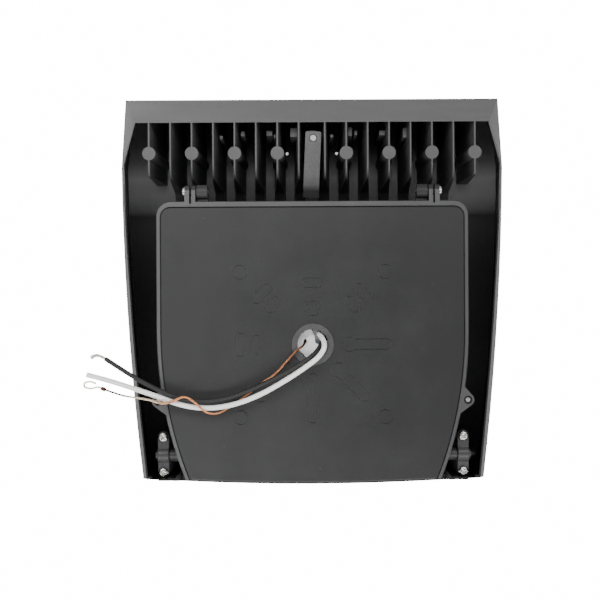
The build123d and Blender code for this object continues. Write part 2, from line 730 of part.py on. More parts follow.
with BuildPart() as pivot_seals:
    for start, width in side_spans(PIVOT_SEAL):
        with BuildSketch(facing_side(start)):
            with Locations((PIVOT_Y, PIVOT_Z)):
                Circle(PIVOT_SEAL_R)
                Circle(PIVOT_THREAD_R, mode=Mode.SUBTRACT)
        extrude(amount=width)
    fillet(pivot_seals.edges().filter_by(GeomType.CIRCLE).group_by(SortBy.RADIUS)[-1], 0.4)
pivot_seals.part.label = "pivot_seals"
export_step(pivot_seals.part, "parts/pivot_seals.step")

# LED driver: case with a foot at each end.
driver_back_y = DRIVER_AT[1] - DRIVER_SIZE[1] / 2
with BuildPart() as led_driver:
    with Locations(DRIVER_AT):
        Box(*DRIVER_SIZE)
    fillet(led_driver.edges().filter_by(Axis.Y), 2.0)
    fillet(led_driver.faces().sort_by(Axis.Y)[0].edges(), 0.8)
    foot_span = DRIVER_SIZE[0] + 2 * DRIVER_FOOT[0]
    with Locations((DRIVER_AT[0], DRIVER_FRONT_Y - DRIVER_FOOT[1] / 2, DRIVER_AT[2])):
        Box(foot_span, DRIVER_FOOT[1], DRIVER_SIZE[2] - 8.0)
    with BuildSketch(facing_wall(driver_back_y)):
        with Locations(*driver_spots):
            Circle(DRIVER_SCREW_R)
    extrude(amount=-DRIVER_SIZE[1], mode=Mode.SUBTRACT)
led_driver.part.label = "led_driver"
export_step(led_driver.part, "parts/led_driver.step")

foot_y = DRIVER_FRONT_Y - DRIVER_FOOT[1]
driver_screw = screw(DRIVER_SCREW_R, DRIVER_FOOT[1] + 7.0, 3.4, 2.4)
with BuildPart() as driver_screws:
    add(placed(driver_screw, [(x, foot_y, z) for x, z in driver_spots], (0, 1, 0)))
driver_screws.part.label = "driver_screws"
export_step(driver_screws.part, "parts/driver_screws.step")

earth_head = screw(DRIVER_SCREW_R, 12.0, 3.8, 2.5)
earth_seat = (EARTH_POST[0], EARTH_HEAD_Y + 2.5, EARTH_POST[1])
with BuildPart() as earth_screw:
    add(placed(earth_head, [earth_seat], (0, 1, 0)))
earth_screw.part.label = "earth_screw"
export_step(earth_screw.part, "parts/earth_screw.step")

# Leads inside the box: two to the driver, one to the earth screw, one out to the head.
inner_black_path = route_line(INNER_BLACK, "inner black lead")
with BuildPart() as inner_black:
    with BuildSketch(Plane(origin=inner_black_path @ 0, z_dir=inner_black_path % 0)):
        Circle(BLACK_D / 2)
    sweep(path=inner_black_path)
print_tube(inner_black.part, inner_black_path, BLACK_D, "inner black lead")
inner_black.part.label = "inner_black"
export_step(inner_black.part, "parts/inner_black.step")

inner_white_path = route_line(INNER_WHITE, "inner white lead")
with BuildPart() as inner_white:
    with BuildSketch(Plane(origin=inner_white_path @ 0, z_dir=inner_white_path % 0)):
        Circle(WHITE_D / 2)
    sweep(path=inner_white_path)
print_tube(inner_white.part, inner_white_path, WHITE_D, "inner white lead")
inner_white.part.label = "inner_white"
export_step(inner_white.part, "parts/inner_white.step")

inner_earth_path = route_line(INNER_EARTH, "inner earth lead")
with BuildPart() as inner_earth:
    with BuildSketch(Plane(origin=inner_earth_path @ 0, z_dir=inner_earth_path % 0)):
        Circle(COPPER_D / 2)
    sweep(path=inner_earth_path)
print_tube(inner_earth.part, inner_earth_path, COPPER_D, "inner earth lead")
inner_earth.part.label = "inner_earth"
export_step(inner_earth.part, "parts/inner_earth.step")

output_path = route_line(OUTPUT_ROUTE, "output lead")
with BuildPart() as output_lead:
    with BuildSketch(Plane(origin=output_path @ 0, z_dir=output_path % 0)):
        Circle(LEAD_R)
    sweep(path=output_path)
print_tube(output_lead.part, output_path, 2 * LEAD_R, "output lead")
output_lead.part.label = "output_lead"
export_step(output_lead.part, "parts/output_lead.step")

# Cavity of the head and the fins in it, cut where the box and its swing need room.
floor_share = (FLOOR_Y[0] - RIM_Y) / (FLARE_Y - RIM_Y)
with BuildPart() as cavity:
    with BuildSketch(facing_wall(RIM_Y)):
        head_outline(0, RIM_WALL, CAVITY_FOOT_Z)
    with BuildSketch(facing_wall(FLOOR_Y[0])):
        head_outline(floor_share, FLOOR_WALL, CAVITY_FOOT_Z)
    loft(ruled=True)

with BuildPart() as fins:
    for number in range(FIN_COUNT):
        lowest = FIN_OUTER_LOW_Z if number == FIN_COUNT - 1 else FIN_LOW_Z
        for x in (FIN_FIRST_X + number * FIN_PITCH, -FIN_FIRST_X - number * FIN_PITCH):
            with BuildSketch(Plane.XY.offset(lowest)):
                with BuildLine():
                    Polyline(
                        (x - FIN_TIP / 2, RIM_Y),
                        (x + FIN_TIP / 2, RIM_Y),
                        (x + FIN_ROOT / 2, FLOOR_Y[0] + 1),
                        (x - FIN_ROOT / 2, FLOOR_Y[0] + 1),
                        close=True,
                    )
                make_face()
            extrude(amount=FIN_HIGH_Z - lowest)
    with BuildSketch(facing_side(-PLATE_HALF - 20)):
        with BuildLine():
            FilletPolyline(
                (RIM_Y, FIN_RIM_Z + 2 * FIN_TURN_R),
                (RIM_Y, FIN_RIM_Z),
                FIN_FOOT,
                (FIN_STUB_Y, FIN_FOOT[1] - 5),
                (FIN_STUB_Y, FIN_LOW_Z - 1),
                (RIM_Y - 1, FIN_LOW_Z - 1),
                radius=[FIN_TURN_R, 2.5, 1.0, 0.5],
                close=False,
            )
            Polyline(
                (RIM_Y - 1, FIN_LOW_Z - 1),
                (RIM_Y - 1, FIN_RIM_Z + 2 * FIN_TURN_R),
                (RIM_Y, FIN_RIM_Z + 2 * FIN_TURN_R),
            )
        make_face()
    extrude(amount=2 * PLATE_HALF + 40, mode=Mode.SUBTRACT)
    boss_xs = [FIN_FIRST_X + number * FIN_PITCH for number in (1, 3, 5, 7)]
    for x in (*boss_xs, *[-x for x in boss_xs]):
        with Locations(Plane(origin=(x, FLOOR_Y[0] + 1, BOSS_Z), z_dir=(0, -1, 0))):
            Cone(
                BOSS_ROOT_R,
                BOSS_R,
                FLOOR_Y[0] + 1 - RIM_Y,
                align=(Align.CENTER, Align.CENTER, Align.MIN),
            )
    add(cavity.part, mode=Mode.INTERSECT)

# Lamp head casting.
front_sections = ((CASTING_FRONT_Y, LENS_SHELF_Y, RIM_FACE), (LENS_SHELF_Y, FLOOR_Y[1], OPEN_INSET))
with BuildPart() as head_housing:
    with BuildSketch(facing_wall(RIM_Y)):
        head_outline(0, 0)
    with BuildSketch(facing_wall(FLARE_Y)):
        head_outline(1, 0)
    loft(ruled=True)
    with BuildSketch(facing_wall(FLARE_Y)):
        head_outline(1, 0)
    extrude(amount=FLARE_Y - CASTING_FRONT_Y)
    add(cavity.part, mode=Mode.SUBTRACT)
    for front, back, inset in front_sections:
        with BuildSketch(facing_wall(back)):
            head_outline(1, inset)
        extrude(amount=back - front, mode=Mode.SUBTRACT)
    with Locations((0, RIM_Y - 1, CUT_TOP_Z)):
        Box(
            2 * SHELF_X,
            FLOOR_Y[0] - RIM_Y + 1,
            CUT_TOP_Z - CAVITY_FOOT_Z + 20.0,
            align=(Align.CENTER, Align.MIN, Align.MIN),
            mode=Mode.SUBTRACT,
        )
    with Locations((0, RIM_Y - 1, PIVOT_Z)):
        Box(
            2 * SHELF_X,
            CUT_Y - RIM_Y + 1,
            40.0,
            align=(Align.CENTER, Align.MIN, Align.MAX),
            mode=Mode.SUBTRACT,
        )
    for start, width in side_spans(POCKET_X):
        with Locations((start, RIM_Y, POCKET_FOOT_Z)):
            Box(
                width,
                FLOOR_Y[0] - RIM_Y,
                PIVOT_Z - PIVOT_BOSS_R - POCKET_FOOT_Z,
                align=(Align.MIN, Align.MIN, Align.MIN),
                mode=Mode.SUBTRACT,
            )
    add(fins.part)
    with BuildSketch(facing_wall(KEEPER_BOSS_Y)):
        with Locations((STRAP_X, STRAP_Z)):
            Circle(KEEPER_BOSS_R)
    extrude(amount=KEEPER_BOSS_Y - FLOOR_Y[0])
    tower_x = sum(TOWER_X) / 2
    tower_half = (TOWER_X[1] - TOWER_X[0]) / 2
    for side in (-1, 1):
        with BuildSketch(facing_wall(PIVOT_Y)):
            with Locations((side * tower_x, (CAP_SCREW_Z[0] + TOWER_FOOT_Z) / 2)):
                Rectangle(2 * tower_half, CAP_SCREW_Z[0] - TOWER_FOOT_Z)
            with Locations((side * tower_x, CAP_SCREW_Z[0])):
                Circle(tower_half)
        extrude(amount=PIVOT_Y - FLOOR_Y[0])
    for start, width in side_spans(TOWER_X):
        with BuildSketch(facing_side(start)):
            with Locations((PIVOT_Y, PIVOT_Z)):
                Circle(BEARING_R)
        extrude(amount=width, mode=Mode.SUBTRACT)
    with BuildSketch(facing_wall(PIVOT_Y)):
        for z in CAP_SCREW_Z:
            with Locations(*on_both_sides(tower_x, z)):
                Circle(CAP_SCREW_R)
    extrude(amount=-CAP_SCREW_LENGTH, mode=Mode.SUBTRACT)
    with BuildSketch(facing_wall(KEEPER_BOSS_Y)):
        with Locations((STRAP_X, STRAP_Z)):
            Circle(KEEPER_PIN_R)
    extrude(amount=KEEPER_BOSS_Y - KEEPER_PIN_END_Y, mode=Mode.SUBTRACT)
    with BuildSketch(facing_wall(BOARD_SCREW_TIP_Y - 0.4)):
        for x, z in BOARD_SCREWS:
            with Locations(*on_both_sides(x, z)):
                Circle(BOARD_SCREW_R)
    extrude(amount=BOARD_SCREW_TIP_Y - 0.4 - FLOOR_Y[1], mode=Mode.SUBTRACT)
    with BuildSketch(facing_wall(FLOOR_Y[0])):
        with Locations((HEAD_LEAD_X, PIVOT_Z)):
            Circle(GLAND_R)
    extrude(amount=FLOOR_Y[0] - FLOOR_Y[1], mode=Mode.SUBTRACT)
    with BuildSketch(facing_wall(CASTING_FRONT_Y - BEZEL_SCREW_DEPTH)):
        for x, z in BEZEL_SCREWS:
            with Locations(*on_both_sides(x, z)):
                Circle(BEZEL_SCREW_R)
    extrude(amount=-BEZEL_SCREW_DEPTH, mode=Mode.SUBTRACT)
head_housing.part.label = "head_housing"
export_step(head_housing.part, "parts/head_housing.step")

# Saddle caps over the journals, and their screws.
flange_y = PIVOT_Y - CAP_GAP - CAP_FLANGE_T
with BuildPart() as pivot_caps:
    for start, width in side_spans(CAP_X):
        with BuildSketch(facing_side(start)):
            with Locations((PIVOT_Y, PIVOT_Z)):
                Circle(CAP_R)
                Circle(BEARING_R, mode=Mode.SUBTRACT)
        extrude(amount=width)
    with Locations((0, PIVOT_Y - CAP_GAP, PIVOT_Z)):
        Box(
            3 * PLATE_HALF,
            2 * CAP_R,
            3 * CAP_R,
            align=(Align.CENTER, Align.MIN, Align.CENTER),
            mode=Mode.SUBTRACT,
        )
    cap_x = sum(CAP_X) / 2
    for side in (-1, 1):
        for z in CAP_SCREW_Z:
            inner_z = PIVOT_Z + (BEARING_R + 1.2) * (1 if z > PIVOT_Z else -1)
            with BuildSketch(facing_wall(flange_y)):
                with Locations((side * cap_x, z)):
                    Circle(CAP_X[1] - cap_x)
                with Locations((side * cap_x, (z + inner_z) / 2)):
                    Rectangle(CAP_X[1] - CAP_X[0], abs(z - inner_z))
            extrude(amount=-CAP_FLANGE_T)
            with BuildSketch(facing_wall(flange_y)):
                with Locations((side * cap_x, z)):
                    Circle(CAP_SCREW_R)
            extrude(amount=-CAP_FLANGE_T, mode=Mode.SUBTRACT)
    with Locations((0, PIVOT_Y, CAP_LOW_Z)):
        Box(
            3 * PLATE_HALF,
            4 * CAP_R,
            2 * CAP_R,
            align=(Align.CENTER, Align.CENTER, Align.MAX),
            mode=Mode.SUBTRACT,
        )
pivot_caps.part.label = "pivot_caps"
export_step(pivot_caps.part, "parts/pivot_caps.step")

cap_screw = screw(CAP_SCREW_R, CAP_SCREW_LENGTH, CAP_HEAD_R, CAP_HEAD_T)
with BuildPart() as pivot_cap_screws:
    for z in CAP_SCREW_Z:
        add(placed(cap_screw, on_both_sides(cap_x, flange_y, z), (0, 1, 0)))
pivot_cap_screws.part.label = "pivot_cap_screws"
export_step(pivot_cap_screws.part, "parts/pivot_cap_screws.step")

# Keeper strap, turned a little on its rivet.
with BuildPart() as keeper_strap:
    with BuildSketch(facing_side(STRAP_X - STRAP_WIDTH / 2)):
        with BuildLine() as strap_edge:
            FilletPolyline(
                (STRAP_Y, STRAP_TOP_Z),
                (STRAP_Y, STRAP_BEND_Z),
                (STRAP_FOOT_Y - STRAP_T, STRAP_FOOT_EDGE_Z + 1.4),
                radius=STRAP_BEND_R,
            )
            offset(amount=STRAP_T, side=Side.LEFT)
        make_face()
    extrude(amount=STRAP_WIDTH)
    top_face = keeper_strap.faces().sort_by(Axis.Z)[-1]
    fillet(top_face.edges().filter_by(Axis.Y), STRAP_CORNER_R)
    with BuildSketch(facing_wall(STRAP_Y)):
        with Locations((STRAP_X, STRAP_Z)):
            Circle(KEEPER_COUNTERBORE_R)
    extrude(amount=-KEEPER_HEAD_T, mode=Mode.SUBTRACT)
    with BuildSketch(facing_wall(STRAP_Y)):
        with Locations((STRAP_X, STRAP_Z)):
            Circle(KEEPER_BORE_R)
    extrude(amount=-STRAP_T, mode=Mode.SUBTRACT)
turned_strap = keeper_strap.part.rotate(Axis((STRAP_X, 0, STRAP_Z), (0, 1, 0)), STRAP_TURN)
turned_strap.label = "keeper_strap"
export_step(turned_strap, "parts/keeper_strap.step")

# Rivet that holds the strap, with a collar behind it.
with BuildPart() as keeper_rivet:
    for start, end, radius in (
        (STRAP_Y, STRAP_Y + KEEPER_HEAD_T - 0.05, KEEPER_HEAD_R),
        (STRAP_Y, KEEPER_PIN_END_Y, KEEPER_PIN_R),
        (STRAP_Y + STRAP_T + 0.05, KEEPER_BOSS_Y, KEEPER_COLLAR_R),
    ):
        with BuildSketch(facing_wall(start)):
            with Locations((STRAP_X, STRAP_Z)):
                Circle(radius)
        extrude(amount=start - end)
keeper_rivet.part.label = "keeper_rivet"
export_step(keeper_rivet.part, "parts/keeper_rivet.step")

# LED board, its screws, the LEDs and the lead that feeds it.
with BuildPart() as led_board:
    with BuildSketch(facing_wall(FLOOR_Y[1])):
        with Locations((0, BOARD_Z)):
            RectangleRounded(*BOARD_SIZE, 4.0)
        for x, z in BOARD_SCREWS:
            with Locations(*on_both_sides(x, z)):
                Circle(BOARD_SCREW_R, mode=Mode.SUBTRACT)
    extrude(amount=-BOARD_T)
led_board.part.label = "led_board"
export_step(led_board.part, "parts/led_board.step")

board_front_y = FLOOR_Y[1] + BOARD_T
board_screw = screw(BOARD_SCREW_R, board_front_y - BOARD_SCREW_TIP_Y, 2.5, 0.9)
with BuildPart() as led_board_screws:
    for x, z in BOARD_SCREWS:
        add(placed(board_screw, on_both_sides(x, board_front_y, z), (0, -1, 0)))
led_board_screws.part.label = "led_board_screws"
export_step(led_board_screws.part, "parts/led_board_screws.step")

with BuildPart() as leds:
    with BuildSketch(facing_wall(board_front_y)):
        with Locations((0, LED_Z)):
            with GridLocations(*LED_PITCH, *LED_COUNTS):
                Rectangle(LED_SIZE, LED_SIZE)
    extrude(amount=-LED_T)
leds.part.label = "leds"
export_step(leds.part, "parts/leds.step")

with BuildPart() as board_connector:
    with BuildSketch(facing_wall(board_front_y)):
        with Locations(CONNECTOR_AT):
            Rectangle(CONNECTOR_SIZE[0], CONNECTOR_SIZE[2])
    extrude(amount=-CONNECTOR_SIZE[1])
board_connector.part.label = "board_connector"
export_step(board_connector.part, "parts/board_connector.step")

with BuildPart() as lead_gland:
    with BuildSketch(facing_wall(FLOOR_Y[0])):
        with Locations((HEAD_LEAD_X, PIVOT_Z)):
            Circle(GLAND_R)
            Circle(LEAD_R, mode=Mode.SUBTRACT)
    extrude(amount=FLOOR_Y[0] - FLOOR_Y[1])
lead_gland.part.label = "lead_gland"
export_step(lead_gland.part, "parts/lead_gland.step")

head_path = route_line(HEAD_ROUTE, "head lead", HEAD_EXITS)
with BuildPart() as head_lead:
    with BuildSketch(Plane(origin=head_path @ 0, z_dir=head_path % 0)):
        Circle(LEAD_R)
    sweep(path=head_path)
print_tube(head_lead.part, head_path, 2 * LEAD_R, "head lead")
head_lead.part.label = "head_lead"
export_step(head_lead.part, "parts/head_lead.step")

# Optic sheet: a dome over each LED and a frame that stands on the board.
dome = Cone(
    OPTIC_R,
    0.55 * OPTIC_R,
    OPTIC_TOP_Y - OPTIC_Y[1],
    align=(Align.CENTER, Align.CENTER, Align.MIN),
)
with BuildPart() as optic_sheet:
    with BuildSketch(facing_wall(OPTIC_Y[0])):
        with Locations((0, LED_Z)):
            Rectangle(*OPTIC_SIZE)
    extrude(amount=OPTIC_Y[0] - OPTIC_Y[1])
    with BuildSketch(facing_wall(board_front_y)):
        with Locations((0, LED_Z)):
            Rectangle(*OPTIC_SIZE)
            Rectangle(OPTIC_SIZE[0] - 2 * OPTIC_FOOT, OPTIC_SIZE[1] - 2 * OPTIC_FOOT, mode=Mode.SUBTRACT)
    extrude(amount=board_front_y - OPTIC_Y[0])
    dome_spots = [
        (spot.position.X, OPTIC_Y[1], LED_Z + spot.position.Y)
        for spot in GridLocations(*LED_PITCH, *LED_COUNTS)
    ]
    add(placed(dome, dome_spots, (0, 1, 0)))
optic_sheet.part.label = "optic_sheet"
export_step(optic_sheet.part, "parts/optic_sheet.step")

# Front lens on its seal, under the bezel.
lens_back_y = LENS_SHELF_Y + LENS_SEAL_T
lens_front_y = lens_back_y + LENS_T
with BuildPart() as lens_seal:
    with BuildSketch(facing_wall(LENS_SHELF_Y)):
        head_outline(1, LENS_INSET)
        head_outline(1, OPEN_INSET, mode=Mode.SUBTRACT)
    extrude(amount=-LENS_SEAL_T)
lens_seal.part.label = "lens_seal"
export_step(lens_seal.part, "parts/lens_seal.step")

with BuildPart() as front_lens:
    with BuildSketch(facing_wall(lens_back_y)):
        head_outline(1, LENS_INSET)
    extrude(amount=-LENS_T)
front_lens.part.label = "front_lens"
export_step(front_lens.part, "parts/front_lens.step")

with BuildPart() as bezel:
    with BuildSketch(facing_wall(CASTING_FRONT_Y)):
        head_outline(1, 0)
    extrude(amount=CASTING_FRONT_Y - BEZEL_FRONT_Y)
    bezel_face = bezel.faces().filter_by(Axis.Y).sort_by(Axis.Y)[-1]
    fillet(bezel_face.outer_wire().edges(), BEZEL_EDGE_R)
    with BuildSketch(facing_wall(CASTING_FRONT_Y)):
        head_outline(1, BEZEL_OPEN_INSET)
    extrude(amount=CASTING_FRONT_Y - BEZEL_FRONT_Y, mode=Mode.SUBTRACT)
    with BuildSketch(facing_wall(CASTING_FRONT_Y)):
        head_outline(1, RIM_FACE)
    extrude(amount=CASTING_FRONT_Y - lens_front_y, mode=Mode.SUBTRACT)
    for radius, depth in ((BEZEL_SCREW_R, BEZEL_FRONT_Y - CASTING_FRONT_Y), (BEZEL_HEAD_R, BEZEL_SINK)):
        with BuildSketch(facing_wall(BEZEL_FRONT_Y - depth)):
            for x, z in BEZEL_SCREWS:
                with Locations(*on_both_sides(x, z)):
                    Circle(radius)
        extrude(amount=-depth, mode=Mode.SUBTRACT)
bezel.part.label = "bezel"
export_step(bezel.part, "parts/bezel.step")

bezel_seat_y = BEZEL_FRONT_Y - BEZEL_SINK
bezel_screw = screw(
    BEZEL_SCREW_R,
    bezel_seat_y - CASTING_FRONT_Y + BEZEL_SCREW_DEPTH,
    BEZEL_HEAD_R,
    BEZEL_HEAD_T,
)
with BuildPart() as bezel_screws:
    for x, z in BEZEL_SCREWS:
        add(placed(bezel_screw, on_both_sides(x, bezel_seat_y, z), (0, -1, 0)))
bezel_screws.part.label = "bezel_screws"
export_step(bezel_screws.part, "parts/bezel_screws.step")
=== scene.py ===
"""LED wall pack with a tilting head, seen from the side that goes against the wall.

The frame is that of the CAD part: +Z up, -Y towards the wall, the origin at the centre of
the wiring hub. The scene is in metres. Sizes and places of the lamp are named in
millimetres and multiplied by MM where they are used; those of the camera, the lights and
the floor are in metres.
"""

import json
import math
import random

import bmesh
import bpy
from mathutils import Matrix, Vector

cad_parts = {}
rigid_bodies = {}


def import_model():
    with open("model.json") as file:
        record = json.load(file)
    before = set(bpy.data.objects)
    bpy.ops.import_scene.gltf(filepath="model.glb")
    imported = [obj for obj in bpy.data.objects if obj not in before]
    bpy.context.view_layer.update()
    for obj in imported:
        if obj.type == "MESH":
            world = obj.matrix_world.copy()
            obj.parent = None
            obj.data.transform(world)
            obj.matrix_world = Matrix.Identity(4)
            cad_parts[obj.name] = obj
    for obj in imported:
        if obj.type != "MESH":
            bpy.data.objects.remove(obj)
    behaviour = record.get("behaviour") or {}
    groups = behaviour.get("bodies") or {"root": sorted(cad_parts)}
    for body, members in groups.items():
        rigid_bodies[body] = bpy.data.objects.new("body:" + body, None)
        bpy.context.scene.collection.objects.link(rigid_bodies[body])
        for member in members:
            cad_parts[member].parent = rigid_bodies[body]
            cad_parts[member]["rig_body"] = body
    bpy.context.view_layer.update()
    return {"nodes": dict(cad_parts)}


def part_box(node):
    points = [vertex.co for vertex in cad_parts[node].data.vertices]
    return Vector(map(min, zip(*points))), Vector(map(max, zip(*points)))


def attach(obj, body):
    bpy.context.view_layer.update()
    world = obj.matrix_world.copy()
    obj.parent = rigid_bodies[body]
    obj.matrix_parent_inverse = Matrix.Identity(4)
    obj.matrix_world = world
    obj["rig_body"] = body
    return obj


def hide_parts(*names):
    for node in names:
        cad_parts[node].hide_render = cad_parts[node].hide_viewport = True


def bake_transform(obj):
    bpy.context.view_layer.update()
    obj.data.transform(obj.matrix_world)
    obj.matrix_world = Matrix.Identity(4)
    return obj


MM = 0.001

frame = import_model()
NODES = frame["nodes"]

# Camera, as the photograph has it: square to the wall plate and rolled a third of a degree.
# The focal length is in pixels of a square picture that is IMAGE_PIXELS wide, and SHIFT_X
# is a share of that picture's width.
CAMERA_AT = (0.0, -0.650, 0.0276)
CAMERA_ROLL = math.radians(0.30)
FOCAL_PIXELS = 1048.0
IMAGE_PIXELS = 600.0
SENSOR_MM = 36.0
SHIFT_X = -0.021
CLIP_START = 0.01

# Supply leads, as in the part's source: diameters and routes, in millimetres.
BLACK_D = 2.9
WHITE_D = 3.2
COPPER_D = 1.3
BLACK_ROUTE = (
    (6.2, 4.6, 3.0), (4.6, -3.4, -2.4), (-2.6, -8.6, -8.6), (-13.6, -9.2, -15.0),
    (-25.2, -7.8, -21.3), (-38.6, -6.6, -27.6), (-54.0, -6.2, -33.3), (-69.6, -6.0, -34.8),
    (-84.4, -6.0, -32.2), (-98.6, -6.0, -25.6), (-112.6, -6.0, -17.9), (-127.6, -6.0, -7.8),
)
WHITE_ROUTE = (
    (4.0, 4.6, 6.2), (8.0, -5.0, 1.8), (5.6, -9.4, -5.6), (-3.4, -9.6, -12.8),
    (-16.4, -8.6, -21.3), (-31.0, -7.4, -29.8), (-47.6, -6.8, -36.4), (-64.4, -6.4, -39.0),
    (-80.4, -6.2, -37.0), (-96.4, -6.2, -30.9), (-112.0, -6.2, -25.6), (-127.0, -6.2, -20.7),
    (-139.0, -6.2, -17.6),
)
COPPER_ROUTE = (
    (-4.6, 4.6, 2.6), (-5.2, -0.6, -0.4), (-10.0, -2.2, -3.2), (-16.4, -2.3, -10.4),
    (-23.4, -2.2, -18.4), (-32.4, -2.2, -23.8), (-40.2, -2.3, -30.4), (-49.0, -2.3, -36.6),
    (-58.4, -4.6, -42.6), (-65.6, -9.0, -41.4), (-71.8, -10.2, -34.8), (-78.6, -10.2, -30.2),
    (-85.6, -10.0, -34.0), (-92.6, -9.8, -35.4), (-100.2, -9.6, -32.8), (-109.0, -8.6, -31.6),
    (-118.4, -7.4, -30.2), (-127.6, -6.4, -26.8),
)

# Leads between the hub and what they serve in the driver box.
INNER_BLACK = (
    (6.2, 5.8, 3.0), (10.5, 15.0, 4.6), (34.0, 17.0, 8.0), (60.0, 16.0, 11.0),
    (80.0, 20.0, 12.0), (84.0, 38.0, 12.0), (66.0, 44.0, 12.0), (52.3, 42.0, 12.0),
)
INNER_WHITE = (
    (4.0, 5.8, 6.2), (6.8, 15.0, 9.4), (34.0, 17.0, 14.6), (60.0, 16.0, 18.0),
    (80.0, 20.0, 19.0), (84.0, 38.0, 19.0), (66.0, 44.0, 19.0), (52.3, 42.0, 19.0),
)
INNER_EARTH = (
    (-4.6, 5.8, 2.6), (-5.4, 13.5, -1.0), (-10.0, 18.0, -18.0), (-17.0, 22.0, -38.0),
    (-20.0, 37.8, -50.0),
)


def linear(hex_colour, alpha=1.0):
    """An sRGB hex colour as linear red, green, blue and alpha."""
    channels = [int(hex_colour[i : i + 2], 16) / 255 for i in (1, 3, 5)]
    return (
        *[c / 12.92 if c <= 0.04045 else ((c + 0.055) / 1.055) ** 2.4 for c in channels],
        alpha,
    )


def node(tree, kind, settings=(), links=()):
    """Adds a shader node with its attributes, socket values and incoming links."""
    made = tree.nodes.new(kind)
    for name, value in dict(settings).items():
        if isinstance(name, str) and hasattr(made, name) and name not in made.inputs:
            setattr(made, name, value)
        else:
            made.inputs[name].default_value = value
    for name, source in dict(links).items():
        tree.links.new(source, made.inputs[name])
    return made


def blank_material(name):
    """A material with only a surface shader, and its tree."""
    material = bpy.data.materials.new(name)
    material.use_nodes = True
    tree = material.node_tree
    tree.nodes.clear()
    output = tree.nodes.new("ShaderNodeOutputMaterial")
    shader = tree.nodes.new("ShaderNodeBsdfPrincipled")
    tree.links.new(shader.outputs["BSDF"], output.inputs["Surface"])
    return material, tree, shader


def where(tree):
    """Object coordinates, which are metres in the row frame."""
    return tree.nodes.new("ShaderNodeTexCoord").outputs["Object"]


def ramp(tree, factor, stops):
    """A colour ramp with (position, colour) stops on a factor."""
    made = node(tree, "ShaderNodeValToRGB", {}, {"Fac": factor})
    elements = made.color_ramp.elements
    while len(elements) < len(stops):
        elements.new(0.5)
    for element, (position, colour) in zip(elements, stops):
        element.position = position
        element.color = colour
    return made.outputs["Color"]


# Noise keeps to the middle of its range, so ramps on it run between these two values.
NOISE_LOW = 0.3
NOISE_HIGH = 0.7

# Powder coat: the size of the clouds of its spray and the depth of its orange peel, the
# parts that clouds and grain have in the tone, how far the roughness wanders either way,
# and the width over which painted shade darkens a coat from the left end of the lamp to
# the right.
CLOUD_MM = 38.0
PEEL_DEPTH_MM = 0.12
CLOUD_IN_TONE = 0.55
GRAIN_IN_TONE = 0.45
SHEEN_SPREAD = 0.07
SHADE_WIDTH_MM = 260.0

# Specks of dust and overspray on it: the size of the cells that may have one, a speck's
# radius as a share of its cell, and how bright a cell's random colour has to be for one.
SPECK_CELL_MM = 4.2
SPECK_RADIUS = 0.035
SPECK_ABOVE = 0.92

# The fine texture of the coat traps part of the sheen that its resin would have.
COAT_SPECULAR = 0.3

# Other surfaces: depth of their grain, how far the roughness wanders either way, and the
# smoothest that it gets. Bare wire has its own grain: size, depth and strength.
GRAIN_DEPTH_MM = 0.05
GLOSS_SPREAD = 0.08
LEAST_ROUGHNESS = 0.02
WIRE_GRAIN_MM = 0.5
WIRE_GRAIN_DEPTH_MM = 0.04
WIRE_BUMP = 0.2


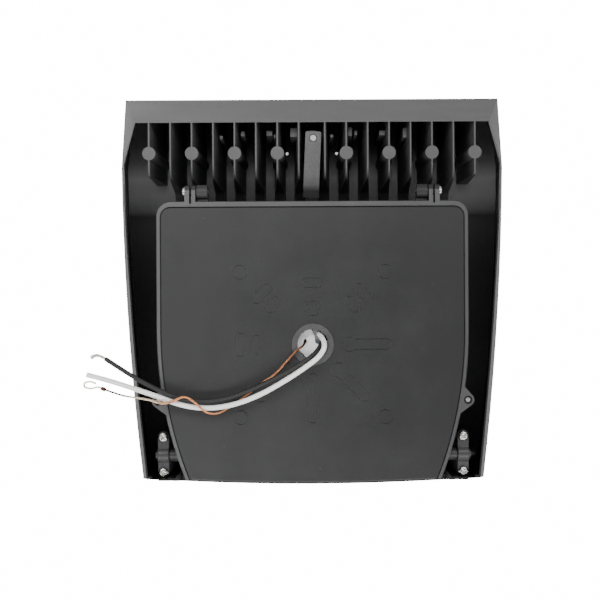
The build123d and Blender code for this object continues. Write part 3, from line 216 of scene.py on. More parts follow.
def powder_coat(
    name, dark, light, roughness, grain_mm=0.9, bump=0.35, shade_to_right=0.0, speck="#5a5a5a", light_by_height=()
):
    """Fine-textured polyester powder coat, sprayed and baked on cast aluminium.

    The eye gets a charcoal that is never quite even: a slow cloudiness of the spray,
    a fine orange peel that breaks up the sheen, and single light specks of dust.
    How much darker the coat is at the right end than at the left is painted shade on the side
    that the light reaches less. The list of (height in millimetres, share of the tone), from
    low to high, paints light and shade that change with height.
    """
    material, tree, shader = blank_material(name)
    spot = where(tree)
    cloud = node(
        tree,
        "ShaderNodeTexNoise",
        {"Scale": 1 / (CLOUD_MM * MM), "Detail": 5.0, "Roughness": 0.62},
        {"Vector": spot},
    )
    grain = node(
        tree,
        "ShaderNodeTexNoise",
        {"Scale": 1 / (grain_mm * MM), "Detail": 3.0, "Roughness": 0.7},
        {"Vector": spot},
    )
    fine = node(
        tree,
        "ShaderNodeMath",
        {"operation": "MULTIPLY_ADD", 1: GRAIN_IN_TONE, 2: 0.0},
        {0: grain.outputs["Fac"]},
    )
    tone = node(
        tree,
        "ShaderNodeMath",
        {"operation": "MULTIPLY_ADD", 1: CLOUD_IN_TONE},
        {0: cloud.outputs["Fac"], 2: fine.outputs[0]},
    )
    across = node(tree, "ShaderNodeSeparateXYZ", {}, {"Vector": spot})
    # Painted shade: the coat gets darker from the left end of the lamp to the right.
    shaded_to_right = node(
        tree,
        "ShaderNodeMath",
        {"operation": "MULTIPLY_ADD", 1: -shade_to_right / (SHADE_WIDTH_MM * MM)},
        {0: across.outputs["X"], 2: tone.outputs[0]},
    )
    tones = ((NOISE_LOW, linear(dark)), (NOISE_HIGH, linear(light)))
    colour = ramp(tree, shaded_to_right.outputs[0], tones)
    # Painted light and shade: the tone changes with height.
    if light_by_height:
        low, high = light_by_height[0][0], light_by_height[-1][0]
        rise = node(
            tree,
            "ShaderNodeMapRange",
            {"From Min": low * MM, "From Max": high * MM},
            {"Value": across.outputs["Z"]},
        )
        stops = [((z - low) / (high - low), (*[part] * 3, 1)) for z, part in light_by_height]
        shade = ramp(tree, rise.outputs["Result"], stops)
        colour = node(
            tree, "ShaderNodeVectorMath", {"operation": "MULTIPLY"}, {0: colour, 1: shade}
        ).outputs[0]
    cells = node(
        tree,
        "ShaderNodeTexVoronoi",
        {"Scale": 1 / (SPECK_CELL_MM * MM)},
        {"Vector": spot},
    )
    near = node(
        tree,
        "ShaderNodeMapRange",
        {"From Min": SPECK_RADIUS, "From Max": 2 * SPECK_RADIUS, "To Min": 1.0, "To Max": 0.0},
        {"Value": cells.outputs["Distance"]},
    )
    chosen = node(
        tree,
        "ShaderNodeMath",
        {"operation": "GREATER_THAN", 1: SPECK_ABOVE},
        {0: cells.outputs["Color"]},
    )
    speckled = node(
        tree,
        "ShaderNodeMath",
        {"operation": "MULTIPLY"},
        {0: near.outputs["Result"], 1: chosen.outputs[0]},
    )
    mixed = node(
        tree,
        "ShaderNodeMix",
        {"data_type": "RGBA", 7: linear(speck)},
        {0: speckled.outputs[0], 6: colour},
    )
    tree.links.new(mixed.outputs[2], shader.inputs["Base Color"])
    sheen_break = node(
        tree,
        "ShaderNodeMapRange",
        {
            "From Min": NOISE_LOW,
            "From Max": NOISE_HIGH,
            "To Min": roughness - SHEEN_SPREAD,
            "To Max": roughness + SHEEN_SPREAD,
        },
        {"Value": tone.outputs[0]},
    )
    tree.links.new(sheen_break.outputs["Result"], shader.inputs["Roughness"])
    peel = node(
        tree,
        "ShaderNodeBump",
        {"Strength": bump, "Distance": PEEL_DEPTH_MM * MM},
        {"Height": grain.outputs["Fac"]},
    )
    tree.links.new(peel.outputs["Normal"], shader.inputs["Normal"])
    shader.inputs["Specular IOR Level"].default_value = COAT_SPECULAR
    return material


def plain(name, colour, roughness, metallic=0.0, grain_mm=1.0, spread=0.12, bump=0.1):
    """A moulded, drawn or plated surface with a little grain in its tone and gloss."""
    material, tree, shader = blank_material(name)
    grain = node(
        tree,
        "ShaderNodeTexNoise",
        {"Scale": 1 / (grain_mm * MM), "Detail": 4.0, "Roughness": 0.6},
        {"Vector": where(tree)},
    )
    base = linear(colour)
    darker = (*[c * (1 - spread) for c in base[:3]], 1)
    lighter = (*[min(c * (1 + spread), 1) for c in base[:3]], 1)
    tone = ramp(tree, grain.outputs["Fac"], ((NOISE_LOW, darker), (NOISE_HIGH, lighter)))
    tree.links.new(tone, shader.inputs["Base Color"])
    rough = node(
        tree,
        "ShaderNodeMapRange",
        {
            "From Min": NOISE_LOW,
            "From Max": NOISE_HIGH,
            "To Min": max(roughness - GLOSS_SPREAD, LEAST_ROUGHNESS),
            "To Max": roughness + GLOSS_SPREAD,
        },
        {"Value": grain.outputs["Fac"]},
    )
    tree.links.new(rough.outputs["Result"], shader.inputs["Roughness"])
    relief = node(
        tree,
        "ShaderNodeBump",
        {"Strength": bump, "Distance": GRAIN_DEPTH_MM * MM},
        {"Height": grain.outputs["Fac"]},
    )
    tree.links.new(relief.outputs["Normal"], shader.inputs["Normal"])
    shader.inputs["Metallic"].default_value = metallic
    return material


def along_x(name, stops, roughness):
    """Bare wire whose tone changes along it: tarnish, and painted light and shade.

    stops are (x in millimetres, colour).
    """
    material, tree, shader = blank_material(name)
    spot = where(tree)
    across = node(tree, "ShaderNodeSeparateXYZ", {}, {"Vector": spot})
    low, high = stops[0][0], stops[-1][0]
    share = node(
        tree,
        "ShaderNodeMapRange",
        {"From Min": low * MM, "From Max": high * MM},
        {"Value": across.outputs["X"]},
    )
    tone = ramp(
        tree,
        share.outputs["Result"],
        [((x - low) / (high - low), linear(colour)) for x, colour in stops],
    )
    grain = node(
        tree,
        "ShaderNodeTexNoise",
        {"Scale": 1 / (WIRE_GRAIN_MM * MM), "Detail": 3.0, "Roughness": 0.6},
        {"Vector": spot},
    )
    relief = node(
        tree,
        "ShaderNodeBump",
        {"Strength": WIRE_BUMP, "Distance": WIRE_GRAIN_DEPTH_MM * MM},
        {"Height": grain.outputs["Fac"]},
    )
    tree.links.new(tone, shader.inputs["Base Color"])
    tree.links.new(relief.outputs["Normal"], shader.inputs["Normal"])
    shader.inputs["Roughness"].default_value = roughness
    shader.inputs["Metallic"].default_value = 1.0
    return material


def clear(name, tint, roughness, transmission, ior):
    """A clear pane: glass or acrylic that the board shows through."""
    material, tree, shader = blank_material(name)
    shader.inputs["Base Color"].default_value = linear(tint)
    shader.inputs["Roughness"].default_value = roughness
    shader.inputs["Transmission Weight"].default_value = transmission
    shader.inputs["IOR"].default_value = ior
    return material


# Finishes. Each is named for what it is and how it was made, or for the light or shade painted
# on it, and its comment says what that gives the eye. The coats of the head are one coat on
# one casting: they are told apart by place only, to paint on it the light and shade that
# fall there.

# Polyester powder baked on die-cast aluminium: a matt charcoal of fine texture, with
# painted shade that darkens it from left to right and towards the foot of the head.
HEAD_COAT = powder_coat(
    "powder_coat_head_painted_shade", "#373738", "#434344", 0.6, shade_to_right=0.5, light_by_height=((60.0, 0.45), (130.0, 1.0))
)
# The same powder on the cast front frame: an even, darker charcoal.
BEZEL_COAT = powder_coat("powder_coat_bezel", "#323233", "#3e3e3f", 0.6)
# The same powder on the walls of the channels, with painted shade: grey high up and near
# black low down, where light doesn't reach, which gives the channels their depth.
SHADED_CHANNEL_COAT = powder_coat(
    "powder_coat_channels_painted_shade", "#444445", "#525253", 0.6,
    light_by_height=((80.0, 0.08), (98.0, 0.7), (112.0, 1.0), (140.0, 1.0)),
)
# The same powder on the floors of the channels, with painted light: a pale grey band halfway
# up, where light falls between the fins, and painted shade above it and near black below it.
LIT_FLOOR_COAT = powder_coat(
    "powder_coat_channel_floors_painted_light", "#949495", "#a4a4a5", 0.6,
    light_by_height=((86.0, 0.02), (100.0, 0.7), (112.0, 1.0), (124.0, 0.5), (140.0, 0.3)),
)
# The same powder on the flat plate and the box: a little smoother and nearer to black, with
# painted shade that darkens it from left to right.
PLATE_COAT = powder_coat("powder_coat_plate_painted_shade", "#212122", "#303031", 0.5, shade_to_right=0.7)
# Band round the plate: a coarser, greyer coat, which sets off the panel inside it, with
# painted shade that darkens it from left to right.
BAND_COAT = powder_coat("powder_coat_band", "#414142", "#545455", 0.5, 0.8, 0.6, 0.5)
# Rim, fin edges and boss ends high on the head: a lighter grey that is painted light on the
# faces that catch it, so that they read as grey lines, with painted shade that darkens it from
# left to right. Lower down, the fin edges take the painted shade of the channels.
LIT_EDGE_COAT = powder_coat("powder_coat_edges_painted_light", "#444444", "#5a5a5a", 0.5, 0.6, 0.7, 0.3)
# Ring of the hub: powder on a zinc casting, rough and grey, with pale specks.
RING_COAT = powder_coat("zinc_ring_coat", "#383838", "#525252", 0.5, 0.7, 0.8, 0.0, "#8a8a8a")
# Ends of the cast posts: a light grey that is painted light on the small squares that
# catch it, bright from a step away.
POST_COAT = powder_coat("powder_coat_post_ends_painted_light", "#5a5a5a", "#7a7a7a", 0.5, 0.6, 0.6, 0.0)
# Centre strap: powder on spring strip, scuffed to a mottle of dark and mid grey.
STRIP_COAT = powder_coat(
    "coated_spring_strip", "#303030", "#626262", 0.55, 0.7, 0.7, 0.0, "#9a9a9a"
)
# Pivot caps: a smoother powder, whose long highlight shows how round the saddles are.
GLOSS_COAT = powder_coat("powder_coat_caps", "#38383a", "#484849", 0.34, 0.9, 0.25)

# Screws: cold-headed steel, zinc-plated: bright and silvery, with soft glints.
ZINC = plain("zinc_plated_steel", "#dcdad6", 0.26, 1.0, 0.8)
# Pivot pins: turned steel, chemically blackened: dark, with a soft gleam along the pin.
BLACK_STEEL = plain("blackened_steel", "#363638", 0.45, 0.3)
# Rivet of the strap: steel whose plating is worn: a dull mid grey with a blurred shine.
RIVET = plain("worn_steel_rivet", "#a0a0a0", 0.5, 0.5)
# Shanks of the hinge screws: near black, painted shade that keeps the gap of the hinge dark.
HINGE_GAP_SHADE = plain("hinge_shank_painted_shade", "#101011", 0.7, 0.0, 0.6, 0.3, 0.4)
# Can of the driver: drawn aluminium, pale, with a broad, soft shine.
CASE = plain("drawn_aluminium_case", "#e8e8ea", 0.25, 1.0, 3.0, 0.05)
# Earth tab: stamped aluminium, finely scratched, which reads almost white in the dark hub.
TAB = plain("bright_aluminium_tab", "#f4f4f4", 0.5, 0.25, 1.6, 0.08, 0.3)
# Seals and gland: moulded silicone rubber, dull black with hardly a highlight.
RUBBER = plain("silicone_rubber", "#141414", 0.75)
# Retainers and connector: moulded nylon in its natural white, a little waxy.
NYLON = plain("white_nylon", "#dddbd2", 0.5)
# Insulation: extruded PVC, dusty and matt on the black lead, smooth on the white one, which
# has a soft highlight along it.
BLACK_PVC = plain("black_pvc_insulation", "#161616", 0.6, 0.0, 0.8, 0.25, 0.15)
WHITE_PVC = plain("white_pvc_insulation", "#f6f6f4", 0.36, 0.0, 2.0, 0.03, 0.1)
# Earth lead: drawn copper strands, bare: salmon where they are clean, dark brown at the far
# end, painted shade in dark brown at the end inside the hub, and a painted highlight, nearly
# white, in a stretch towards the far end where the strands have opened.
COPPER = along_x(
    "bare_copper_strands",
    (
        (-128.0, "#3a2a22"), (-119.0, "#4a3527"), (-112.0, "#d8c6ae"), (-101.0, "#ead9c4"),
        (-92.0, "#e6b58c"), (-80.0, "#dd9a6c"), (-20.0, "#dd9a70"), (-9.0, "#8a5a3e"),
        (-4.0, "#2e211a"),
    ),
    0.36,
)
# Stripped end of the black lead: tinned copper strands, silvery, with fine glints.
STRANDS = plain("tinned_strands", "#e6e0d6", 0.26, 1.0, 0.5, 0.2, 0.3)
# Crimp on the earth lead: a pressed sleeve with a brown patina, half metal.
CRIMP = plain("brown_crimp_sleeve", "#4a3022", 0.45, 0.7)
# Loop at its end: drawn wire of a pale gold, bright against the crimp.
LOOP_BRASS = plain("pale_golden_wire", "#f0e2bd", 0.3, 1.0)
# LED board: white solder mask printed on aluminium, an even white under the lens.
BOARD = plain("white_solder_mask", "#e6e6e2", 0.35)
# LEDs: silicone cast over phosphor: yellow squares that optic and lens blur to pale dots.
PHOSPHOR = plain("led_phosphor", "#e2c744", 0.5)
# Optic: moulded acrylic, clear with a faint haze.
OPTIC = clear("moulded_acrylic_optic", "#f6fafa", 0.08, 0.9, 1.49)
# Front lens: toughened float glass, clear, with the sharpest reflections of the lamp.
GLASS = clear("toughened_front_glass", "#f4fafa", 0.03, 1.0, 1.5)

FINISH = {
    "wall_plate": PLATE_COAT, "driver_box": PLATE_COAT, "hub_ring": RING_COAT,
    "head_housing": HEAD_COAT, "pivot_caps": GLOSS_COAT, "bezel": BEZEL_COAT,
    "keeper_strap": STRIP_COAT, "keeper_rivet": RIVET, "hinge_screws": ZINC,
    "cover_screws": ZINC, "pivot_cap_screws": ZINC, "bezel_screws": ZINC,
    "driver_screws": ZINC, "earth_screw": ZINC, "led_board_screws": ZINC,
    "pivot_nuts": ZINC, "pivot_pins": BLACK_STEEL, "plate_seal": RUBBER,
    "lens_seal": RUBBER, "pivot_seals": RUBBER, "lead_gland": RUBBER,
    "screw_retainers": NYLON, "board_connector": NYLON, "inner_black": BLACK_PVC,
    "output_lead": BLACK_PVC, "head_lead": BLACK_PVC, "inner_white": WHITE_PVC,
    "inner_earth": COPPER, "black_strands": STRANDS, "earth_crimp": CRIMP,
    "earth_loop": LOOP_BRASS, "led_driver": CASE, "led_board": BOARD,
    "leds": PHOSPHOR, "optic_sheet": OPTIC, "front_lens": GLASS,
    "lead_black": BLACK_PVC, "lead_white": WHITE_PVC, "lead_copper": COPPER,
}
for name, material in FINISH.items():
    mesh = NODES[name].data
    mesh.materials.clear()
    mesh.materials.append(material)


def link(obj):
    """Puts a new object in the scene."""
    bpy.context.scene.collection.objects.link(obj)
    return obj


# Tubes: how round they are, their steps from one control point to the next, and the order
# of the curve along these points.
TUBE_ROUNDNESS = 5
TUBE_STEPS = 14
CURVE_ORDER = 3


def curve_on(name, route, diameter, material):
    """A smooth NURBS tube along control points in millimetres."""
    curve = bpy.data.curves.new(name, "CURVE")
    curve.dimensions = "3D"
    curve.bevel_depth = diameter / 2 * MM
    curve.bevel_resolution = TUBE_ROUNDNESS
    curve.use_fill_caps = True
    curve.resolution_u = TUBE_STEPS
    line = curve.splines.new("NURBS")
    line.points.add(len(route) - 1)
    for point, spot in zip(line.points, route):
        point.co = (*[c * MM for c in spot], 1.0)
    line.order_u = CURVE_ORDER
    line.use_endpoint_u = True
    if material:
        curve.materials.append(material)
    return link(bpy.data.objects.new(name, curve))


def spine(route):
    """Points along the smooth line of a route, in metres."""
    guide = curve_on("guide", route, 0.0, None)
    bpy.context.view_layer.update()
    line = bpy.data.meshes.new_from_object(guide)
    points = [vertex.co.copy() for vertex in line.vertices]
    bpy.data.objects.remove(guide)
    bpy.data.meshes.remove(line)
    return points


def resample(points, step):
    """The same line with even steps, and with its end unless a step lies close to it."""
    spaced = [points[0]]
    left = step
    for start, end in zip(points, points[1:]):
        run = end - start
        done = 0.0
        while run.length - done >= left:
            done += left
            spaced.append(start + run * (done / run.length))
            left = step
        left -= run.length - done
    if (spaced[-1] - points[-1]).length > step / 3:
        spaced.append(points[-1])
    return spaced


def frames_along(points):
    """At each point of a line: the point and two directions across it, without twist."""
    frames = []
    across = None
    for i, spot in enumerate(points):
        ahead = (points[min(i + 1, len(points) - 1)] - points[max(i - 1, 0)]).normalized()
        if across is None:
            across = ahead.cross(Vector((0, 1, 0))).normalized()
        across = (across - ahead * across.dot(ahead)).normalized()
        frames.append((spot, across, ahead.cross(across)))
    return frames


STRAND_SIDES = 6

# How far a strand strays from its even twist, in radians, how often along its line, and
# how far the waves of one strand may be shifted against those of another.
STRAY_TURN = 0.25
STRAY_WAVES = 9
STRAY_PHASE = 3


def add_strand(work, line, radius):
    """A thin round wire along a line of points, closed at both ends."""
    rings = []
    for spot, side, up in frames_along(line):
        ring = []
        for k in range(STRAND_SIDES):
            turn = math.tau * k / STRAND_SIDES
            outward = math.cos(turn) * side + math.sin(turn) * up
            ring.append(work.verts.new(spot + radius * outward))
        rings.append(ring)
    for low, high in zip(rings, rings[1:]):
        for k in range(STRAND_SIDES):
            j = (k + 1) % STRAND_SIDES
            work.faces.new((low[k], low[j], high[j], high[k]))
    work.faces.new(rings[0][::-1])
    work.faces.new(rings[-1])


def stranded(name, points, strand_r, layers, pitch, spread, material, seed):
    """Twisted bare strands along a line. strand_r, layers and pitch are in millimetres.

    layers lists (count, distance from the middle). spread(share, wander) multiplies that
    distance, from the share of the line that is done and the random numbers of a strand,
    so that the strands fan out where the twist has opened.
    """
    draw = random.Random(seed)
    work = bmesh.new()
    frames = frames_along(points)
    total = len(points) - 1
    step = (points[1] - points[0]).length
    for count, distance in layers:
        for strand in range(count):
            phase = math.tau * strand / count
            wander = [draw.uniform(-1, 1) for _ in range(3)]
            line = []
            for i, (spot, side, up) in enumerate(frames):
                share = i / total
                turn = phase + math.tau * i * step / (pitch * MM)
                wave = math.sin(STRAY_WAVES * share + STRAY_PHASE * wander[1])
                turn += STRAY_TURN * wander[0] * wave
                away = distance * MM * spread(share, wander)
                line.append(spot + away * (math.cos(turn) * side + math.sin(turn) * up))
            add_strand(work, line, strand_r * MM)
    mesh = bpy.data.meshes.new(name)
    work.normal_update()
    work.to_mesh(mesh)
    work.free()
    for face in mesh.polygons:
        face.use_smooth = True
    mesh.materials.append(material)
    return link(bpy.data.objects.new(name, mesh))


def lead(name, route, diameter, material, cad_node):
    """A supply lead as a smooth tube on its route, standing for its CAD solid."""
    piece = curve_on(name, route, diameter, material)
    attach(piece, "wall_plate")
    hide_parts(cad_node)
    return piece


black = lead("black_lead", BLACK_ROUTE, BLACK_D, BLACK_PVC, "lead_black")
white = lead("white_lead", WHITE_ROUTE, WHITE_D, WHITE_PVC, "lead_white")

# Stripped end of the black lead: fine strands that arch over and part a little.
END_ROUTE = (
    BLACK_ROUTE[-1], (-129.6, -6.0, -6.6), (-132.4, -6.0, -5.6), (-134.6, -6.0, -6.0),
    (-136.4, -6.0, -7.4),
)
END_STRAND_R = 0.17
END_LAYERS = ((1, 0.0), (6, 0.36), (9, 0.70))
END_PITCH = 9.0
END_STEP = 0.35
END_PARTING = 0.7
END_STRAY = 0.6
END_SEED = 5


def parting(share, wander):
    """How far the stripped strands stand apart: further towards the end, each its own way."""
    return 1.0 + END_PARTING * share * share * (1 + END_STRAY * wander[2])


end_points = resample(spine(END_ROUTE), END_STEP * MM)
stripped = stranded(
    "stripped_strands", end_points, END_STRAND_R, END_LAYERS, END_PITCH,
    parting, STRANDS, END_SEED,
)
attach(stripped, "wall_plate")
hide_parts("black_strands")

# Bare copper earth lead: seven strands, twisted, with a stretch that has opened.
COPPER_STRAND_R = 0.215
COPPER_LAYERS = ((1, 0.0), (6, 2 * COPPER_STRAND_R))
COPPER_PITCH = 7.0
COPPER_STEP = 0.5
FRAY_FROM = 0.66
FRAY_TO = 0.80
FRAY_BULGE = 0.55
FRAY_STRAY = 0.3
COPPER_SEED = 11


def fray(share, wander):
    """How far the copper strands stand apart: only in the stretch that has opened."""
    if FRAY_FROM < share < FRAY_TO:
        bulge = math.sin(math.pi * (share - FRAY_FROM) / (FRAY_TO - FRAY_FROM))
        return 1.0 + bulge * (FRAY_BULGE + FRAY_STRAY * wander[2])
    return 1.0


copper_points = resample(spine(COPPER_ROUTE), COPPER_STEP * MM)
copper = stranded(
    "copper_lead", copper_points, COPPER_STRAND_R, COPPER_LAYERS, COPPER_PITCH,
    fray, COPPER, COPPER_SEED,
)
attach(copper, "wall_plate")
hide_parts("lead_copper")

# Leads inside the box: smooth tubes on their routes, standing for their CAD solids.
for name, route, diameter, material, slot in (
    ("inner_black", INNER_BLACK, BLACK_D, BLACK_PVC, "black_insulation"),
    ("inner_white", INNER_WHITE, WHITE_D, WHITE_PVC, "white_insulation"),
    ("inner_earth", INNER_EARTH, COPPER_D, COPPER, "bare_copper"),
):
    tube = curve_on(name + "_tube", route, diameter, material)
    bpy.context.view_layer.update()
    piece = link(bpy.data.objects.new(name + "_lead", bpy.data.meshes.new_from_object(tube)))
    bpy.data.objects.remove(tube)
    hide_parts(name)
    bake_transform(piece)

# Edges of the castings, rolled a little as the coat leaves them.
EDGE_ANGLE = math.radians(38)
EDGE_SEGMENTS = 2
AREA_WEIGHT = 100

# Corners of a solid closer than WELD, in metres, are one, and faces that meet at less than
# FLAT_ANGLE are one face.
WELD = 2e-6
FLAT_ANGLE = math.radians(0.5)

# Planes that tell the coats of a casting apart: the rim of the head and the band of the
# plate, with the slack that a face may have.
RIM_PLANE_Y = 18.0
BAND_PLANE_Y = 0.9
PLANE_SLACK = 0.35

# In the head: the height above which its edges catch the light, half the width, the top and
# the floor of its cavity, and where its outer side and foot walls begin.
EDGE_FOOT_Z = 102.0
CAVITY_HALF = 116.0
CAVITY_TOP_Z = 139.0
CAVITY_FLOOR_Y = 77.0
CAVITY_DEEP_Y = 79.0
SIDE_WALL_X = 104.0
FOOT_WALL_Z = -85.0

# Least part of its normal along an axis for a face that is square to it, and for one that
# only slopes that way.
SQUARE = 0.9
SLOPING = 0.5

# Places among the head's materials: its outside, its edges in painted light, its channel walls in
# painted shade and their floors in painted light and shade.
OUTSIDE, EDGE_IN_LIGHT, CHANNEL, CHANNEL_FLOOR = range(4)


def is_edge_face(face):
    """Faces of the head in the plane of its rim: rim, fin edges and boss ends."""
    return face.normal.y < -SQUARE and face.center.y < (RIM_PLANE_Y + PLANE_SLACK) * MM


def head_coat(face):
    """Which coat a face of the head has, as its place among the head's materials.

    The coats paint light on the high edges and on the floors of the channels, and shade
    on the low edges, on the walls of the channels and on the rest of the head.
    """
    if is_edge_face(face):
        # Edges high up are in painted light, those lower down in the painted shade of the
        # channels.
        return EDGE_IN_LIGHT if face.center.z > EDGE_FOOT_Z * MM else CHANNEL
    at, facing = face.center, face.normal
    side_wall = at.z < EDGE_FOOT_Z * MM and abs(at.x) > SIDE_WALL_X * MM and facing.x * at.x > 0
    foot_wall = at.z < FOOT_WALL_Z * MM and facing.z < -SLOPING
    inside = abs(at.x) < CAVITY_HALF * MM and at.z < CAVITY_TOP_Z * MM
    if side_wall or foot_wall or not inside or at.y > CAVITY_DEEP_Y * MM:
        return OUTSIDE
    # Floors of the channels get painted light, the other faces in the cavity painted shade.
    on_floor = facing.y < -SQUARE and at.y > CAVITY_FLOOR_Y * MM
    return CHANNEL_FLOOR if on_floor else CHANNEL


def is_band_face(face):
    """Faces of the plate in the recessed plane round the panel, ears included."""
    off = abs(face.center.y - BAND_PLANE_Y * MM)
    return face.normal.y < -SQUARE and off < PLANE_SLACK * MM


def soft_cast(name, width_mm, material, others=(), which=None):
    """A copy of a casting with its sharp edges rounded, standing for the CAD node.

    width_mm is how far an edge is rounded. which(face) tells the material of a face: 0 is
    the first, then those of others. A cut at EDGE_FOOT_Z parts the faces of the head, so
    that a long fin edge can change there from painted light to painted shade.
    """
    source = NODES[name]
    mesh = source.data.copy()
    mesh.name = name + "_soft"
    work = bmesh.new()
    work.from_mesh(mesh)
    bmesh.ops.remove_doubles(work, verts=work.verts, dist=WELD)
    bmesh.ops.dissolve_limit(
        work,
        angle_limit=FLAT_ANGLE,
        verts=work.verts,
        edges=work.edges,
        delimit={"NORMAL"},
    )
    bmesh.ops.bisect_plane(
        work,
        geom=[*work.verts, *work.edges, *work.faces],
        plane_co=(0, 0, EDGE_FOOT_Z * MM),
        plane_no=(0, 0, 1),
    )
    work.to_mesh(mesh)
    work.free()
    mesh.materials.clear()
    mesh.materials.append(material)
    for other in others:
        mesh.materials.append(other)
    for face in mesh.polygons:
        face.use_smooth = True
        face.material_index = int(which(face)) if which else 0
    piece = link(bpy.data.objects.new(name + "_soft", mesh))
    bevel = piece.modifiers.new("edge", "BEVEL")
    bevel.width = width_mm * MM
    bevel.segments = EDGE_SEGMENTS
    bevel.limit_method = "ANGLE"
    bevel.angle_limit = EDGE_ANGLE
    bevel.use_clamp_overlap = True
    normals = piece.modifiers.new("normals", "WEIGHTED_NORMAL")
    normals.weight = AREA_WEIGHT
    normals.keep_sharp = True
    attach(piece, source["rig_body"])
    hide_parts(name)
    return piece


# The head's coats of painted light and shade: edges in painted light, channel walls in painted
# shade, floors in painted light and shade.
HEAD_LIGHT_AND_SHADE_COATS = (LIT_EDGE_COAT, SHADED_CHANNEL_COAT, LIT_FLOOR_COAT)
soft_cast("wall_plate", 0.25, PLATE_COAT, (BAND_COAT,), is_band_face)
soft_cast("head_housing", 0.30, HEAD_COAT, HEAD_LIGHT_AND_SHADE_COATS, head_coat)
soft_cast("driver_box", 0.30, PLATE_COAT)
soft_cast("pivot_caps", 0.45, GLOSS_COAT)
soft_cast("hub_ring", 0.20, RING_COAT)
soft_cast("keeper_strap", 0.25, STRIP_COAT)
soft_cast("bezel", 0.25, BEZEL_COAT)

# Cross-recess pan screws that show: the pivot caps' and the hinges'. Their shape is in
# shares of the head's radius and height: its outline, and the two tapered bits of the
# recess, each with half its length and half its width at the mouth and at the foot.
SCREW_SIDES = 40
HEAD_PROFILE = (
    (1.00, 0.00), (1.00, 0.30), (0.97, 0.48), (0.88, 0.68), (0.72, 0.85), (0.50, 0.96), (0.0, 1.0),
)
BIT_MOUTH = (0.78, 0.24)
BIT_FOOT = (0.30, 0.12)
BIT_TOP = 1.3
BIT_DEPTH = 1.1
BIT_TURN = math.radians(22)
HEAD_ROUNDING = 0.04
HEAD_EDGE_ANGLE = math.radians(50)
SHARP_ANGLE = math.radians(35)

# The shank in shares of its radius: its flat end and the length of its point. It reaches
# into the head by a share of the head's height.
POINT_END = 0.7
POINT_LENGTH = 0.5
SHANK_IN_HEAD = 0.02

CORNERS = ((-1, -1), (1, -1), (1, 1), (-1, 1))
ON_AXIS = 1e-9


def revolved(work, profile, sides):
    """A closed solid of revolution about Z from (radius, height) pairs that end on the axis."""
    rings = []
    turns = [math.tau * k / sides for k in range(sides)]
    for radius, height in profile:
        spots = [(radius * math.cos(t), radius * math.sin(t), height) for t in turns]
        if radius < ON_AXIS:
            spots = [(0, 0, height)]
        rings.append([work.verts.new(spot) for spot in spots])
    for low, high in zip(rings, rings[1:]):
        for k in range(sides):
            j = (k + 1) % sides
            corners = [low[k % len(low)], low[j % len(low)]]
            corners += [high[j % len(high)], high[k % len(high)]]
            unique = list(dict.fromkeys(corners))
            if len(unique) > 2:
                work.faces.new(unique)


def to_object(name, work, material):
    """Ends mesh work as a linked object with one material."""
    bmesh.ops.recalc_face_normals(work, faces=work.faces)
    mesh = bpy.data.meshes.new(name)
    work.to_mesh(mesh)
    work.free()
    mesh.materials.append(material)
    return link(bpy.data.objects.new(name, mesh))


def applied(obj):
    """The object's mesh with its modifiers, as a new mesh."""
    bpy.context.view_layer.update()
    graph = bpy.context.evaluated_depsgraph_get()
    return bpy.data.meshes.new_from_object(obj.evaluated_get(graph))


def pan_screw_mesh(head_r, head_t, shank_r, shank_length, shank_material):
    """Mesh of a pan screw along +Z: seat at the origin, head above, shank below."""
    head_work = bmesh.new()
    profile = [(0.0, 0.0), *[(r * head_r, h * head_t) for r, h in HEAD_PROFILE]]
    revolved(head_work, profile, SCREW_SIDES)
    head = to_object("screw_head", head_work, ZINC)
    bits = []
    for number, turn in enumerate((0.0, math.pi / 2)):
        bit_work = bmesh.new()
        spin = Matrix.Rotation(turn + BIT_TURN, 4, "Z")
        top, depth = BIT_TOP * head_t, BIT_DEPTH * head_t
        corners = []
        for height, (long, wide) in ((top, BIT_MOUTH), (top - depth, BIT_FOOT)):
            for x, y in CORNERS:
                corner = Vector((x * long * head_r, y * wide * head_r, height))
                corners.append(bit_work.verts.new(spin @ corner))
        high, low = corners[:4], corners[4:]
        bit_work.faces.new(high)
        bit_work.faces.new(low[::-1])
        for k in range(4):
            j = (k + 1) % 4
            bit_work.faces.new((low[k], low[j], high[j], high[k]))
        bit = to_object(f"bit_{number}", bit_work, ZINC)
        cut = head.modifiers.new("recess", "BOOLEAN")
        cut.object = bit
        cut.solver = "EXACT"
        bits.append(bit)
    rounded = head.modifiers.new("edge", "BEVEL")
    rounded.width = HEAD_ROUNDING * head_r
    rounded.segments = EDGE_SEGMENTS
    rounded.angle_limit = HEAD_EDGE_ANGLE
    head_mesh = applied(head)
    for spare in (head, *bits):
        bpy.data.objects.remove(spare)
    work = bmesh.new()
    work.from_mesh(head_mesh)
    head_faces = len(work.faces)
    shank = (
        (0.0, -shank_length),
        (POINT_END * shank_r, -shank_length),
        (shank_r, -shank_length + POINT_LENGTH * shank_r),
        (shank_r, SHANK_IN_HEAD * head_t),
        (0.0, SHANK_IN_HEAD * head_t),
    )
    revolved(work, shank, SCREW_SIDES)
    bmesh.ops.recalc_face_normals(work, faces=work.faces)
    for number, face in enumerate(work.faces):
        face.material_index = 0 if number < head_faces else 1
        face.smooth = True
    mesh = bpy.data.meshes.new("pan_screw")
    work.to_mesh(mesh)
    work.free()
    mesh.materials.append(ZINC)
    mesh.materials.append(shank_material)
    mesh.set_sharp_from_angle(angle=SHARP_ANGLE)
    return mesh


def set_screw(name, mesh, seat, direction, turn, cad_node, body):
    """Places a copy of a screw mesh with its seat on a spot, its head towards a direction."""
    own = mesh.copy()
    aim = Vector(direction).to_track_quat("Z", "Y").to_matrix().to_4x4()
    own.transform(Matrix.Translation(seat) @ aim @ Matrix.Rotation(turn, 4, "Z"))
    piece = link(bpy.data.objects.new(name, own))
    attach(piece, body)
    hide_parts(cad_node)


